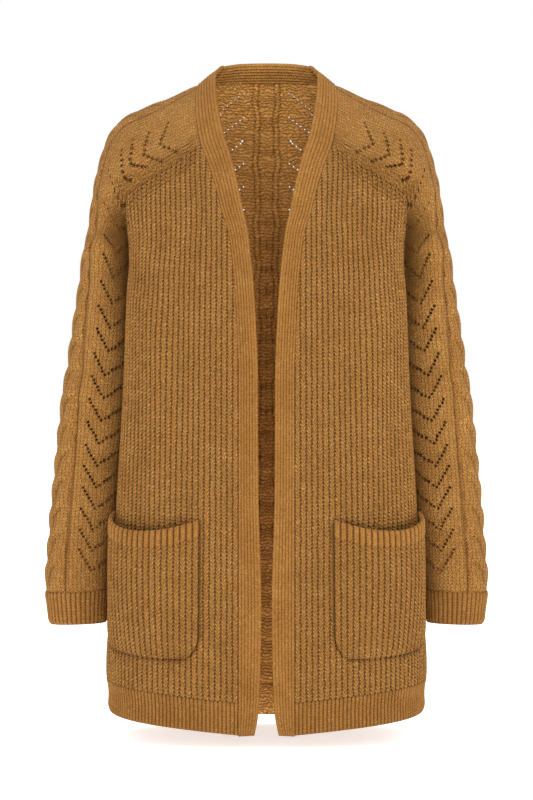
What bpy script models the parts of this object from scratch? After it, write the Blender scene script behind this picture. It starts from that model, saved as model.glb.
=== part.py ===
"""Open-front cardigan, worn: knitted walls in their hanging form, ribs and cables raised outside.

Metres, +Z up, the open front faces -Y. The origin lies between the shoulders at the neck.
The half at +X, named left, is worked out, and the other half is its mirror image.
"""
import math

import bpy
import numpy as np

# ---------------------------------------------------------------- driving sizes
SEAM_GAP = 0.0003        # between two pieces that are sewn together
WALL_OUT = 0.0011        # from the middle of a plain wall to its outer face
WALL_IN = 0.0011         # from the middle of a plain wall to its inner face
BODY_RIB = 0.0013        # height of the fronts' and pockets' ribs
FINE_RIB = 0.0009        # height of the hem, cuff and band ribs
CABLE_RISE = 0.0026      # height of a rope cable
CABLE_HALF = 0.0130      # half width of a rope cable
CABLE_PITCH = 0.0350     # from one crossing of a cable to the next

FRONT_EDGE = 0.0325      # from the middle of the body to the front panel's straight edge
EDGE_RIBS = 6            # ribs that end on the slanted neck edge
ARM_RIBS = 26            # ribs that end on the raglan seam
HEM_RIBS = 38            # ribs across one front's hem
BACK_HEM_RIBS = 96       # ribs across the back's hem
CUFF_RIBS = 40
BAND_RIBS = 7
POCKET_RIBS = 16
CAP_ROWS = 13            # rings of the sleeve between the neck and the underarm
FRONT_COLUMNS = 6        # columns of the sleeve between the front seam and the cable
BACK_COLUMNS = 6         # columns of the sleeve between the cable and the back seam

HEM_FRONT_LOW = -0.771   # lower edge of the hem at the band
HEM_FRONT_RISE = 0.024   # how much higher it is at the side seam
HEM_BACK_LOW = -0.775
HEM_BACK_RISE = 0.028
HEM_DEEP = 0.038
HEM_DRAW = 0.0015        # how far the hem's rib draws in
SLANT_START = -0.340     # height where the front edge leaves the vertical
FRONT_LEVELS = np.array([0.0, 0.20, 0.40, 0.58, 0.74, 0.87, 0.95, 0.98, 1.0])

SQUARE = 2.9             # roundness of the body's cross-section, 2 is an ellipse
TUCK_SPAN = 0.060        # how far round the body the tuck under the arm reaches
EASE = 0.110             # depth over which a panel settles from its seam to the hanging form
EASE_LESS = 0.65         # share by which that depth is less at the side seam
CORNER_REACH = 1.3       # seam gap at a panel's corner, in seam gaps, so that three pieces keep clear
SHARP_FROM = 25.0        # degrees between two faces from which their edge shows sharp

WOOL = (0.270, 0.117, 0.027, 1.0)
WOOL_ROUGH = 0.95

# Hanging form of the body, by height.
#  height, half width, front depth, back depth, tuck under the arm
BODY = np.array([
    (-0.790, 0.1880, 0.1400, 0.1260, 0.000),
    (-0.700, 0.1890, 0.1400, 0.1250, 0.000),
    (-0.600, 0.1885, 0.1390, 0.1210, 0.010),
    (-0.500, 0.1880, 0.1380, 0.1160, 0.022),
    (-0.400, 0.1855, 0.1370, 0.1120, 0.031),
    (-0.320, 0.1830, 0.1365, 0.1120, 0.034),
    (-0.250, 0.1805, 0.1340, 0.1120, 0.034),
    (-0.200, 0.1800, 0.1290, 0.1120, 0.033),
    (-0.160, 0.1790, 0.1210, 0.1100, 0.025),
    (-0.120, 0.1770, 0.1080, 0.1060, 0.010),
    (-0.090, 0.1720, 0.0930, 0.1010, 0.000),
    (-0.060, 0.1660, 0.0730, 0.0940, 0.000),
    (-0.030, 0.1580, 0.0550, 0.0830, 0.000),
    (0.010, 0.1450, 0.0300, 0.0620, 0.000),
])

# Slanted edge of the front, from where it leaves the vertical to the raglan seam.
#  x, y, z
NECK_EDGE = np.array([
    (0.0325, -0.1365, -0.3400),
    (0.0358, -0.1345, -0.2680),
    (0.0410, -0.1300, -0.2106),
    (0.0520, -0.1200, -0.1650),
    (0.0635, -0.1060, -0.1220),
    (0.0765, -0.0850, -0.0860),
])

# Sleeve over the shoulder, from the neck to the underarm.
#  crest x, crest z, front seam x, y, z, back seam x, y, z, front reach, back reach
CAP = np.array([
    (0.0800, -0.0050, 0.0765, -0.0850, -0.0860, 0.0700, 0.0600, 0.0010, 0.046, 0.020),
    (0.1100, -0.0195, 0.0960, -0.0890, -0.1000, 0.0885, 0.0715, -0.0230, 0.047, 0.029),
    (0.1438, -0.0326, 0.1150, -0.0915, -0.1130, 0.1075, 0.0830, -0.0490, 0.049, 0.036),
    (0.1710, -0.0465, 0.1320, -0.0905, -0.1230, 0.1255, 0.0870, -0.0740, 0.051, 0.043),
    (0.1850, -0.0620, 0.1480, -0.0840, -0.1320, 0.1430, 0.0835, -0.0990, 0.053, 0.049),
    (0.1955, -0.0904, 0.1620, -0.0700, -0.1430, 0.1590, 0.0700, -0.1260, 0.057, 0.056),
    (0.2025, -0.1240, 0.1640, -0.0420, -0.1650, 0.1640, 0.0440, -0.1580, 0.066, 0.066),
    (0.2080, -0.1620, 0.1490, 0.0000, -0.1860, 0.1490, 0.0000, -0.1860, 0.075, 0.073),
])
CREST_BACK = 0.010       # how far the crest lies behind the middle at the neck
CREST_SLOPE = 0.10       # slope of a ring where it leaves the crest at the neck
RING_SOFTER = 0.35       # share by which a ring is flatter at its seams halfway down the cap
RING_OUT = 0.6           # how far outward a ring leaves its seam at the underarm
# Slope of a ring at its seam and of the cloth along the raglan seam, in degrees at the neck.
# Both reach 90 at the underarm, later for a higher power.
#  degrees, power
RING_LEAN_FRONT = (-37.0, 1.6)
RING_LEAN_BACK = (-80.0, 1.0)
SEAM_LEAN_FRONT = (-40.0, 2.2)
SEAM_LEAN_BACK = (-45.0, 1.6)
SEAM_OUT = 0.22          # how far the cloth at the raglan seam faces outward at the neck

# Arm of the sleeve down to the cuff's lower edge.
# Forward is how far its middle lies to the front, and fold how far its inner side comes to a fold.
#  outer x, outer z, inner x, inner z, front depth, back depth, forward, fold
ARM = np.array([
    (0.2148, -0.2000, 0.1580, -0.2050, 0.0550, 0.0530, 0.000, 0.40),
    (0.2225, -0.2500, 0.1585, -0.2540, 0.0545, 0.0520, 0.001, 0.20),
    (0.2310, -0.3050, 0.1590, -0.3080, 0.0530, 0.0500, 0.003, 0.10),
    (0.2400, -0.3600, 0.1615, -0.3620, 0.0505, 0.0475, 0.006, 0.05),
    (0.2485, -0.4270, 0.1670, -0.4270, 0.0475, 0.0450, 0.010, 0.00),
    (0.2557, -0.5040, 0.1765, -0.5020, 0.0440, 0.0420, 0.014, 0.00),
    (0.2610, -0.5700, 0.1850, -0.5670, 0.0410, 0.0390, 0.016, 0.00),
    (0.2625, -0.6120, 0.1895, -0.6100, 0.0385, 0.0365, 0.017, 0.00),
    (0.2600, -0.6320, 0.1910, -0.6300, 0.0355, 0.0345, 0.017, 0.00),
    (0.2580, -0.6510, 0.1915, -0.6490, 0.0340, 0.0330, 0.017, 0.00),
])
CUFF_START = 7           # row of the arm where the cuff is sewn on

# Cable along the sleeve: share of the sleeve's length, how far forward of the crest it runs.
CABLE_LINE = np.array([
    (0.00, 0.022),
    (0.15, 0.014),
    (0.35, 0.013),
    (0.50, 0.024),
    (0.70, 0.031),
    (1.00, 0.036),
])

# Band: place along its seam, vector across it from the seam to the free edge, outward normal.
# Places: 0 hem, 1 start of the slant, 2 raglan, 3 crest, 4 back raglan, 5 middle of the back.
#  place, across x, y, z, normal x, y, z
BAND = np.array([
    (0.000, -0.0186, 0.0000, 0.0010, 0.00, -1.00, 0.00),
    (0.060, -0.0231, 0.0000, 0.0000, 0.00, -1.00, 0.00),
    (0.350, -0.0266, -0.0006, 0.0000, 0.00, -1.00, 0.00),
    (0.630, -0.0235, -0.0010, 0.0000, 0.00, -1.00, 0.00),
    (1.000, -0.0226, -0.0014, 0.0005, 0.00, -1.00, 0.02),
    (1.200, -0.0218, -0.0010, 0.0036, 0.03, -0.99, 0.10),
    (1.500, -0.0245, -0.0018, 0.0060, 0.10, -0.94, 0.30),
    (2.000, -0.0272, 0.0010, 0.0100, 0.22, -0.75, 0.60),
    (2.500, -0.0250, 0.0030, 0.0140, 0.38, -0.40, 0.82),
    (3.000, -0.0225, 0.0010, 0.0215, 0.62, 0.00, 0.78),
    (3.500, -0.0210, -0.0050, 0.0235, 0.58, 0.35, 0.73),
    (4.000, -0.0185, -0.0095, 0.0240, 0.42, 0.62, 0.62),
    (4.500, -0.0085, -0.0120, 0.0230, 0.12, 0.88, 0.44),
    (5.000, 0.0000, -0.0125, 0.0225, 0.00, 0.90, 0.43),
])
BAND_OUT = 0.0014        # half thickness of the band under its ribs
BAND_LOWER = 0.0010      # how much lower the band hangs than the hem

# Neckline of the back, from the raglan seam to the middle.
#  x, y, z
BACK_NECK = np.array([
    (0.0000, 0.0735, 0.0045),
    (0.0250, 0.0728, 0.0042),
    (0.0480, 0.0695, 0.0032),
    (0.0700, 0.0600, 0.0010),
])
BACK_NECK_COLUMNS = 5    # columns from the middle of the back to the raglan seam
BACK_ROWS = 42
BACK_CABLES = (0.0, 0.068, 0.136)

# Pocket on a front, in shares of the front's width and in heights.
POCKET_IN = 0.190
POCKET_OUT = 0.735
POCKET_LOW = -0.6830
POCKET_LOW_RISE = 0.0080     # how much higher its lower edge is at the side
POCKET_TOP_IN = -0.5220      # upper corner next to the band
POCKET_TOP_OUT = -0.5150     # upper corner at the side
POCKET_SAG = 0.0190          # how far the mouth hangs between its corners
POCKET_CORNER = 0.0300       # radius of the lower corners
POCKET_CORNER_SHARE = 0.085
POCKET_BULGE = 0.0150        # how far the pouch stands away from the front
POCKET_GAPE = 0.0110         # how far the mouth stands open
POCKET_LEVELS = np.array([0.0, 0.08, 0.2, 0.4, 0.6, 0.8, 1.0])


# ---------------------------------------------------------------- curves and grids
def even_slopes(stations, values):
    """Slope at each row, flat at a row that is higher or lower than both its neighbours."""
    slope = np.gradient(values, stations, axis=0)
    steps = np.diff(values, axis=0) / np.diff(stations)[:, None]
    before, after = steps[:-1], steps[1:]
    limit = 2.5 * np.minimum(np.abs(before), np.abs(after)) * (before * after > 0)
    slope[1:-1] = np.clip(slope[1:-1], -limit, limit)
    return slope


def smooth(stations, values, wanted):
    """Smooth curve through a table's rows, its slope at a row taken from the rows around it."""
    values = np.asarray(values, float)
    if values.ndim == 1:
        values = values[:, None]
    wanted = np.atleast_1d(np.asarray(wanted, float))
    slope = even_slopes(stations, values)
    low = np.clip(np.searchsorted(stations, wanted, side="right") - 1, 0, len(stations) - 2)
    span = (stations[low + 1] - stations[low])[:, None]
    t = np.clip((wanted[:, None] - stations[low][:, None]) / span, 0.0, 1.0)
    start = (1 + 2 * t) * (1 - t) ** 2 * values[low] + t * (1 - t) ** 2 * span * slope[low]
    end = t * t * (3 - 2 * t) * values[low + 1] + t * t * (t - 1) * span * slope[low + 1]
    return start + end


def straight(stations, values, wanted):
    """Straight runs between a table's rows."""
    columns = [np.interp(wanted, stations, values[:, i]) for i in range(values.shape[1])]
    return np.stack(columns, axis=-1)


def run_length(points):
    """Length along a run of points, zero at its first one."""
    steps = np.linalg.norm(np.diff(points, axis=-2), axis=-1)
    start = np.zeros(steps.shape[:-1] + (1,))
    return np.concatenate([start, np.cumsum(steps, axis=-1)], axis=-1)


def unit(vectors):
    return vectors / np.maximum(np.linalg.norm(vectors, axis=-1, keepdims=True), 1e-12)


def grid_normals(grid, outward):
    """Normals of a grid of points, on the side that outward points to over most of it."""
    down = np.gradient(grid, axis=0)
    across = np.gradient(grid, axis=1)
    normals = unit(np.cross(across, down))
    return normals * np.sign(np.sum(normals * outward))


def ribs(count, columns, height):
    """Heights of ribs across a run of columns: high in the middle of each rib, low between."""
    place = np.linspace(0.0, count, columns)
    return height * (0.5 - 0.5 * np.cos(2 * math.pi * place))


# ---------------------------------------------------------------- hanging form of the body
def torso(share, height, face):
    """Point of the body's form. Share 0 is the middle edge and 1 the side; face -1 is the front."""
    share, height = np.broadcast_arrays(share, height)
    wide, front, back, tuck = smooth(BODY[:, 0], BODY[:, 1:], height.ravel()).T
    deep = front if face < 0 else back
    turn = np.linspace(0.0, math.pi / 2, 91)
    x = wide[:, None] * np.sin(turn) ** (2 / SQUARE)
    y = face * deep[:, None] * np.cos(turn) ** (2 / SQUARE)
    x = x - tuck[:, None] * np.exp(-(y / TUCK_SPAN) ** 2)
    length = run_length(np.stack([x, y], axis=-1))
    found = np.empty((x.shape[0], 2))
    for i, part in enumerate(share.ravel()):
        start = np.interp(FRONT_EDGE, x[i], length[i]) if face < 0 else 0.0
        goal = start + part * (length[i, -1] - start)
        found[i] = np.interp(goal, length[i], x[i]), np.interp(goal, length[i], y[i])
    points = np.column_stack([found, height.ravel()])
    return points.reshape(share.shape + (3,))


# ---------------------------------------------------------------- sleeve
def lean(setting, part):
    """Slope in radians at a part of the way from the neck to the underarm."""
    degrees, power = setting
    return np.radians(degrees + (90.0 - degrees) * part ** power)


def sleeve_rings():
    """Rings of the sleeve: crest, front seam, back seam, and the four pulls that round them."""
    rows = []
    last = len(CAP) - 1
    for k, row in enumerate(CAP):
        part = k / last
        crest = np.array([row[0], CREST_BACK * (1 - part), row[1]])
        lean_front = lean(RING_LEAN_FRONT, part)
        lean_back = lean(RING_LEAN_BACK, part)
        side = RING_OUT * math.sin(math.pi * min(part, 0.5)) + 0.2 * (1 - part)
        pull_front = unit(np.array([side, -math.sin(lean_front), math.cos(lean_front)]))
        pull_back = unit(np.array([side, math.sin(lean_back), math.cos(lean_back)]))
        rise = CREST_SLOPE * (1 - part)
        softer = 1 - RING_SOFTER * math.sin(math.pi * part)
        crest_front = np.array([rise, -1.0, -rise])
        crest_back = np.array([0.0, 1.0, -0.2 * rise])
        rows.append(np.concatenate([
            crest, row[2:5], row[5:8],
            row[8] * crest_front, row[8] * softer * pull_front,
            row[9] * crest_back, row[9] * softer * pull_back]))
    for outer_x, outer_z, inner_x, inner_z, front, back, forward, fold in ARM:
        crest = np.array([outer_x, -forward, outer_z])
        seam = np.array([inner_x, -forward, inner_z])
        ahead = np.array([0.0, -4 / 3 * front, 0.0])
        behind = np.array([0.0, 4 / 3 * back, 0.0])
        inward = np.array([fold * 4 / 3 * front, 0.0, 0.0])
        pulls = [ahead, ahead + inward, behind, behind + inward]
        rows.append(np.concatenate([crest, seam, seam] + pulls))
    rows = np.array(rows)
    return run_length(rows[:, :3]), rows


RING_PLACE, RINGS = sleeve_rings()
UNDERARM = RING_PLACE[len(CAP) - 1]
SLEEVE_END = RING_PLACE[len(CAP) + CUFF_START]
CUFF_END = RING_PLACE[-1]


def ring_halves(place):
    """Both halves of the rings at these places, each from the crest to its seam."""
    row = smooth(RING_PLACE, RINGS, place).reshape(-1, 7, 3)
    t = np.linspace(0.0, 1.0, 49)[None, :, None]
    halves = []
    for seam, near, far in ((1, 3, 4), (2, 5, 6)):
        p0 = row[:, None, 0]
        p3 = row[:, None, seam]
        p1 = p0 + row[:, None, near]
        p2 = p3 + row[:, None, far]
        halves.append((1 - t) ** 3 * p0 + 3 * t * (1 - t) ** 2 * p1
                      + 3 * t * t * (1 - t) * p2 + t ** 3 * p3)
    return halves


def sleeve_point(place, offset):
    """Points of the sleeve, offset in metres from the crest, forward below zero.

    Offsets come one row for each place. One past a seam lands on the seam.
    """
    front, back = ring_halves(place)
    whole = np.concatenate([front[:, ::-1], back[:, 1:]], axis=1)
    length = run_length(whole)
    middle = front.shape[1] - 1
    points = np.empty(offset.shape + (3,))
    for i in range(len(whole)):
        goal = offset[i] + length[i, middle]
        for axis in range(3):
            points[i, :, axis] = np.interp(goal, length[i], whole[i, :, axis])
    return points


def seam_offsets(place):
    """Offsets of the front and the back seam from the crest."""
    front, back = ring_halves(place)
    return -run_length(front)[:, -1], run_length(back)[:, -1]


def raglan(number, face):
    """Raglan seam by ring number, 0 at the neck and the last at the underarm, with its normal."""
    last = len(CAP) - 1
    first = 2 if face < 0 else 5
    points = smooth(np.arange(last + 1.0), CAP[:, first:first + 3], number)
    part = np.atleast_1d(number) / last
    turn = lean(SEAM_LEAN_FRONT if face < 0 else SEAM_LEAN_BACK, part)
    side = SEAM_OUT * (1 - part)
    normals = unit(np.stack([side, face * np.cos(turn), -np.sin(turn)], axis=-1))
    return points, normals


def cap_numbers():
    """Ring numbers that part the front raglan seam into equal steps, as seen from above."""
    fine = np.linspace(0.0, len(CAP) - 1, 400)
    points, _ = raglan(fine, -1)
    length = run_length(points[:, :2])
    return np.interp(np.linspace(0.0, length[-1], CAP_ROWS + 1), length, fine)


CAP_NUMBERS = cap_numbers()
CAP_PLACES = np.interp(CAP_NUMBERS, np.arange(len(CAP)), RING_PLACE[:len(CAP)])


def seam_sides(points, normals, toward):
    """Direction across a seam, in the cloth, on the side that toward points to."""
    along = np.gradient(points, axis=0)
    across = unit(np.cross(normals, along))
    turned = np.sum(across * toward, axis=-1, keepdims=True) < 0
    return np.where(turned, -across, across)


def raglan_seam(face):
    """Points, normals and directions toward the sleeve, one row for each ring of the cap."""
    numbers = CAP_NUMBERS
    points, normals = raglan(numbers, face)
    side = seam_sides(points, normals, np.array([0.6, 0.0, 0.8]))
    side[-1] = (1.0, 0.0, 0.0)
    return points, normals, side


# ---------------------------------------------------------------- cables
def rope(across, along):
    """Height of a two-strand rope cable, across its middle line and along it."""
    swing = 0.5 * CABLE_HALF * np.cos(math.pi * along / CABLE_PITCH)
    height = np.zeros(np.broadcast(across, along).shape)
    for strand in (swing, -swing):
        bump = np.clip(1 - ((across - strand) / (0.62 * CABLE_HALF)) ** 2, 0.0, 1.0)
        height = np.maximum(height, CABLE_RISE * np.sqrt(bump))
    return height


# ---------------------------------------------------------------- solids
def zip_runs(first, second, kept):
    """Triangles between a run of vertices and the one beside it, which has only the kept ones."""
    a, b = 0, 0
    faces = []
    while a < len(first) - 1 or b < len(second) - 1:
        a_next = a + 1 if a < len(first) - 1 else len(first)
        b_next = kept[b + 1] if b < len(second) - 1 else len(first)
        if a_next <= 0.5 * (kept[b] + b_next) or b == len(second) - 1:
            faces.append((first[a], first[a + 1], second[b]))
            a += 1
        else:
            faces.append((first[a], second[b + 1], second[b]))
            b += 1
    return faces


def grid_faces(grid, ids):
    """Two triangles for each cell of a grid, split along the cell's shorter diagonal."""
    falling = np.linalg.norm(grid[1:, 1:] - grid[:-1, :-1], axis=-1)
    rising = np.linalg.norm(grid[1:, :-1] - grid[:-1, 1:], axis=-1)
    faces = []
    for r, c in np.ndindex(falling.shape):
        a, b, d, e = ids[r, c], ids[r, c + 1], ids[r + 1, c + 1], ids[r + 1, c]
        if falling[r, c] < rising[r, c]:
            faces += [(a, b, d), (a, d, e)]
        else:
            faces += [(a, b, e), (b, d, e)]
    return faces


def spaced(count, step):
    """Every so many numbers below count, with the last one."""
    return np.unique(np.append(np.arange(0, count, step), count - 1))


def add_wall(name, outer, inner, rows, columns):
    """One closed wall between two grids of points. The inner one keeps only some of its points."""
    inner = inner[rows][:, columns]
    points = np.concatenate([outer.reshape(-1, 3), inner.reshape(-1, 3)])
    out_ids = np.arange(outer.shape[0] * outer.shape[1]).reshape(outer.shape[:2])
    in_ids = out_ids.size + np.arange(inner.shape[0] * inner.shape[1]).reshape(inner.shape[:2])
    faces = grid_faces(outer, out_ids)
    faces += [face[::-1] for face in grid_faces(inner, in_ids)]
    faces += [face[::-1] for face in zip_runs(out_ids[0], in_ids[0], columns)]
    faces += zip_runs(out_ids[-1], in_ids[-1], columns)
    faces += zip_runs(out_ids[:, 0], in_ids[:, 0], rows)
    faces += [face[::-1] for face in zip_runs(out_ids[:, -1], in_ids[:, -1], rows)]
    return add_mesh(name, points, faces)


def add_mesh(name, points, faces):
    a, b, c = (points[corner] for corner in np.array(faces).T)
    volume = np.sum(a * np.cross(b, c))
    if volume < 0:
        faces = [face[::-1] for face in faces]
    mesh = bpy.data.meshes.new(name)
    mesh.from_pydata([tuple(p) for p in points], [], [tuple(int(i) for i in f) for f in faces])
    mesh.materials.append(wool(name))
    mesh.shade_smooth()
    mesh.set_sharp_from_angle(angle=math.radians(SHARP_FROM))
    piece = bpy.data.objects.new(name, mesh)
    bpy.context.scene.collection.objects.link(piece)
    return piece


def wool(name):
    material = bpy.data.materials.new(name + "_wool")
    material.use_nodes = True
    shader = material.node_tree.nodes["Principled BSDF"]
    shader.inputs["Base Color"].default_value = WOOL
    shader.inputs["Roughness"].default_value = WOOL_ROUGH
    shader.inputs["Metallic"].default_value = 0.0
    return material


def add_pair(name, outer, inner, rows, columns):
    """The piece at +X and its mirror image."""
    flip = np.array([-1.0, 1.0, 1.0])
    add_wall(name + "_left", outer, inner, rows, columns)
    add_wall(name + "_right", outer * flip, inner * flip, rows, columns)


# ---------------------------------------------------------------- fronts and back
def hem_line(share, face):
    """Lower edge of the hem."""
    if face < 0:
        return HEM_FRONT_LOW + HEM_FRONT_RISE * share
    return HEM_BACK_LOW + HEM_BACK_RISE * share ** 2


def panel(shares, tops, levels, face):
    """Grid of a body panel: each column hangs from its top point down to the hem seam."""
    low = hem_line(shares, face) + HEM_DEEP
    heights = low[None, :] + levels[:, None] * (tops[None, :, 2] - low[None, :])
    grid = torso(np.broadcast_to(shares, heights.shape), heights, face)
    pull = tops - torso(shares, tops[:, 2], face)
    ease = EASE * (1 - EASE_LESS * shares[None, :])
    near = np.clip(1 - (tops[None, :, 2] - heights) / ease, 0.0, 1.0)[..., None]
    return grid + pull[None] * near ** 2 * (3 - 2 * near)


def front_shares():
    return np.linspace(0.0, 1.0, 2 * (EDGE_RIBS + ARM_RIBS) + 1)


def front_tops():
    """Top points of the front's columns with their normals and the way across the seam."""
    edge_x = np.linspace(NECK_EDGE[0, 0], NECK_EDGE[-1, 0], EDGE_RIBS + 1)
    edge = smooth(NECK_EDGE[:, 0], NECK_EDGE, edge_x)
    place = 1 + np.arange(EDGE_RIBS + 1) / EDGE_RIBS
    normals = unit(smooth(BAND[:, 0], BAND[:, 4:], place))
    side = seam_sides(edge, normals, np.array([-1.0, 0.0, 0.2]))
    columns = np.arange(2 * EDGE_RIBS + 1) / 2
    numbers = np.arange(EDGE_RIBS + 1.0)
    edge_parts = [straight(numbers, part, columns) for part in (edge, normals, side)]
    rings = np.arange(CAP_ROWS + 1.0)
    columns = np.arange(2 * ARM_RIBS + 1) * CAP_ROWS / (2 * ARM_RIBS)
    arm_parts = [straight(rings, part, columns) for part in raglan_seam(-1)]
    edge_parts[2][-1] = CORNER_REACH * unit(edge_parts[2][-1] + arm_parts[2][0])
    return [np.concatenate([a, b[1:]]) for a, b in zip(edge_parts, arm_parts)]


def front_grid():
    """Middle surface and normals of the left front."""
    tops, normals, side = front_tops()
    shares = front_shares()
    grid = panel(shares, tops, FRONT_LEVELS, -1)
    facing = grid_normals(grid, np.array([0.3, -1.0, 0.2]))
    facing[:, 0] = (0.0, -1.0, 0.0)
    facing[:, -1] = (1.0, 0.0, 0.0)
    facing[-1] = normals
    half = SEAM_GAP / 2
    grid[-1] -= side * half
    grid[:-1, 0, 0] += half
    grid[:, -1, 1] -= half
    grid[0, :, 2] += half
    return grid, facing


def add_fronts():
    grid, facing = front_grid()
    rise = np.tile(ribs(EDGE_RIBS + ARM_RIBS, grid.shape[1], BODY_RIB), (len(grid), 1))
    rise[-1] = 0.0
    outer = grid + facing * (WALL_OUT + rise[..., None])
    inner = grid - facing * WALL_IN
    add_pair("front", outer, inner, np.arange(len(grid)), spaced(grid.shape[1], 2))


def back_shares_and_tops():
    """Left half of the back's columns, from the middle to the side seam."""
    neck_x = np.linspace(0.0, BACK_NECK[-1, 0], BACK_NECK_COLUMNS + 1)
    neck = smooth(BACK_NECK[:, 0], BACK_NECK, neck_x)
    place = 5 - np.arange(BACK_NECK_COLUMNS + 1) / BACK_NECK_COLUMNS
    neck_normals = unit(smooth(BAND[:, 0], BAND[:, 4:], place))
    neck_side = seam_sides(neck, neck_normals, np.array([0.0, -0.3, 1.0]))
    arm, arm_normals, arm_side = raglan_seam(1)
    length = run_length(arm[:, :2])
    at_neck = torso_share(neck[-1], 1)
    shares = np.concatenate([
        np.linspace(0.0, at_neck, BACK_NECK_COLUMNS + 1),
        at_neck + (1 - at_neck) * length[1:] / length[-1]])
    neck_side[-1] = CORNER_REACH * unit(neck_side[-1] + arm_side[0])
    neck_normals[-1] = unit(neck_normals[-1] + arm_normals[0])
    tops = np.concatenate([neck, arm[1:]])
    normals = np.concatenate([neck_normals, arm_normals[1:]])
    side = np.concatenate([neck_side, arm_side[1:]])
    return shares, tops, normals, side


def torso_share(point, face):
    """Share of the body's form at which a point lies."""
    shares = np.linspace(0.0, 1.0, 201)
    ring = torso(shares, np.full(201, point[2]), face)
    return float(np.interp(point[0], ring[:150, 0], shares[:150]))


def both_halves(half):
    """Rows that run from the middle outward, with their mirror image before them."""
    mirrored = half[:, ::-1] * np.array([-1.0, 1.0, 1.0])
    return np.concatenate([mirrored[:, :-1], half], axis=1)


def add_back():
    shares, tops, normals, side = back_shares_and_tops()
    levels = np.linspace(0.0, 1.0, BACK_ROWS + 1)
    grid = panel(shares, tops, levels, 1)
    facing = grid_normals(grid, np.array([0.3, 1.0, 0.2]))
    facing[:, 0, 0] = 0.0
    facing[:, -1] = (1.0, 0.0, 0.0)
    facing[-1] = normals
    facing = unit(facing)
    half = SEAM_GAP / 2
    grid[-1] -= side * half
    grid[:, -1, 1] += half
    grid[0, :, 2] += half
    across = run_length(grid)
    rise = np.zeros(grid.shape[:2])
    for middle in BACK_CABLES:
        rise = np.maximum(rise, rope(across - middle, grid[..., 2]))
    rise[-1] = 0.0
    outer = both_halves(grid + facing * (WALL_OUT + rise[..., None]))
    inner = both_halves(grid - facing * WALL_IN)
    rows = np.unique(np.concatenate([spaced(BACK_ROWS + 1, 6), np.arange(BACK_ROWS - 4, BACK_ROWS)]))
    add_wall("back", outer, inner, rows, spaced(outer.shape[1], 2))


# ---------------------------------------------------------------- hems
def half_hem(count, face):
    """Ribbed hem under one half panel, from its lower edge to the seam."""
    columns = 2 * count + 1
    shares = np.linspace(0.0, 1.0, columns)
    low = hem_line(shares, face)
    half = SEAM_GAP / 2
    heights = np.stack([low, low + HEM_DEEP - half])
    grid = torso(np.broadcast_to(shares, heights.shape), heights, face)
    facing = grid_normals(grid, np.array([0.3, float(face), 0.0]))
    facing[..., 2] = 0.0
    facing[:, 0] = (0.0, face, 0.0)
    facing[:, -1] = (1.0, 0.0, 0.0)
    facing = unit(facing)
    grid[0] -= facing[0] * HEM_DRAW
    grid[:, -1, 1] += face * half
    rise = ribs(count, columns, FINE_RIB)[None, :, None]
    outer = grid + facing * (WALL_OUT + rise)
    inner = grid - facing * WALL_IN
    return outer, inner


def add_hems():
    outer, inner = half_hem(HEM_RIBS, -1)
    outer[:, 0, 0] += SEAM_GAP / 2
    inner[:, 0, 0] += SEAM_GAP / 2
    add_pair("hem_front", outer, inner, np.arange(2), spaced(outer.shape[1], 4))
    outer, inner = half_hem(BACK_HEM_RIBS // 2, 1)
    outer[:, 0, 0] = 0.0
    inner[:, 0, 0] = 0.0
    outer, inner = both_halves(outer), both_halves(inner)
    add_wall("hem_back", outer, inner, np.arange(2), spaced(outer.shape[1], 4))


# ---------------------------------------------------------------- sleeves and cuffs
def sleeve_offsets(place):
    """Offsets of the sleeve's columns: close together on the cable, spread on both sides of it."""
    start, end = seam_offsets(place)
    middle = -smooth(CABLE_LINE[:, 0], CABLE_LINE[:, 1], place / SLEEVE_END)[:, 0]
    low = middle - 1.1 * CABLE_HALF
    high = middle + 1.1 * CABLE_HALF
    front = np.linspace(start, low, FRONT_COLUMNS + 1, axis=1)
    cable = np.linspace(low, high, 5, axis=1)[:, 1:-1]
    back = np.linspace(high, end, BACK_COLUMNS + 1, axis=1)
    return np.concatenate([front, cable, back], axis=1), middle


def neck_ring_polyline(points):
    """Every second column of the neck ring carries the seam, the others lie on straight runs."""
    numbers = np.arange(len(points), dtype=float)
    return straight(numbers[::2], points[::2], numbers)


def add_sleeves():
    arm_rows = int(round((SLEEVE_END - UNDERARM) / (CABLE_PITCH / 2)))
    arm = np.linspace(UNDERARM, SLEEVE_END, arm_rows + 1)[1:]
    place = np.concatenate([CAP_PLACES, arm])
    offsets, middle = sleeve_offsets(place)
    grid = sleeve_point(place, offsets)
    grid[0] = neck_ring_polyline(grid[0])
    centre = grid.mean(axis=1, keepdims=True)
    facing = grid_normals(grid, grid - centre)
    half = SEAM_GAP / 2
    for column, face in ((0, -1), (-1, 1)):
        points, normals, side = raglan_seam(face)
        facing[:CAP_ROWS + 1, column] = normals
        grid[:CAP_ROWS + 1, column] = points + side * half
        facing[CAP_ROWS + 1:, column] = (-1.0, 0.0, 0.0)
        facing[CAP_ROWS + 1, column] = unit(np.array([-1.0, 0.0, -0.35]))
        grid[CAP_ROWS:, column, 1] += face * half
    place_on_band = ring_band_place(len(grid[0]))
    normals = unit(smooth(BAND[:, 0], BAND[:, 4:], place_on_band))
    normals = neck_ring_polyline(normals)
    side = neck_ring_polyline(seam_sides(grid[0], normals, np.array([1.0, 0.0, -0.8])))
    facing[0] = normals
    grid[0] += side * half
    grid[-1, :, 2] += half
    rise = rope(offsets - middle[:, None], place[:, None])
    rise[0] = 0.0
    outer = grid + facing * (WALL_OUT + rise[..., None])
    inner = grid - facing * WALL_IN
    rows = np.concatenate([np.arange(CAP_ROWS + 4), CAP_ROWS + 4 + spaced(arm_rows - 3, 4)])
    add_pair("sleeve", outer, inner, rows, np.arange(grid.shape[1]))


def ring_band_place(columns):
    """Places of the neck ring's columns along the band."""
    return np.linspace(2.0, 4.0, columns)


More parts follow.
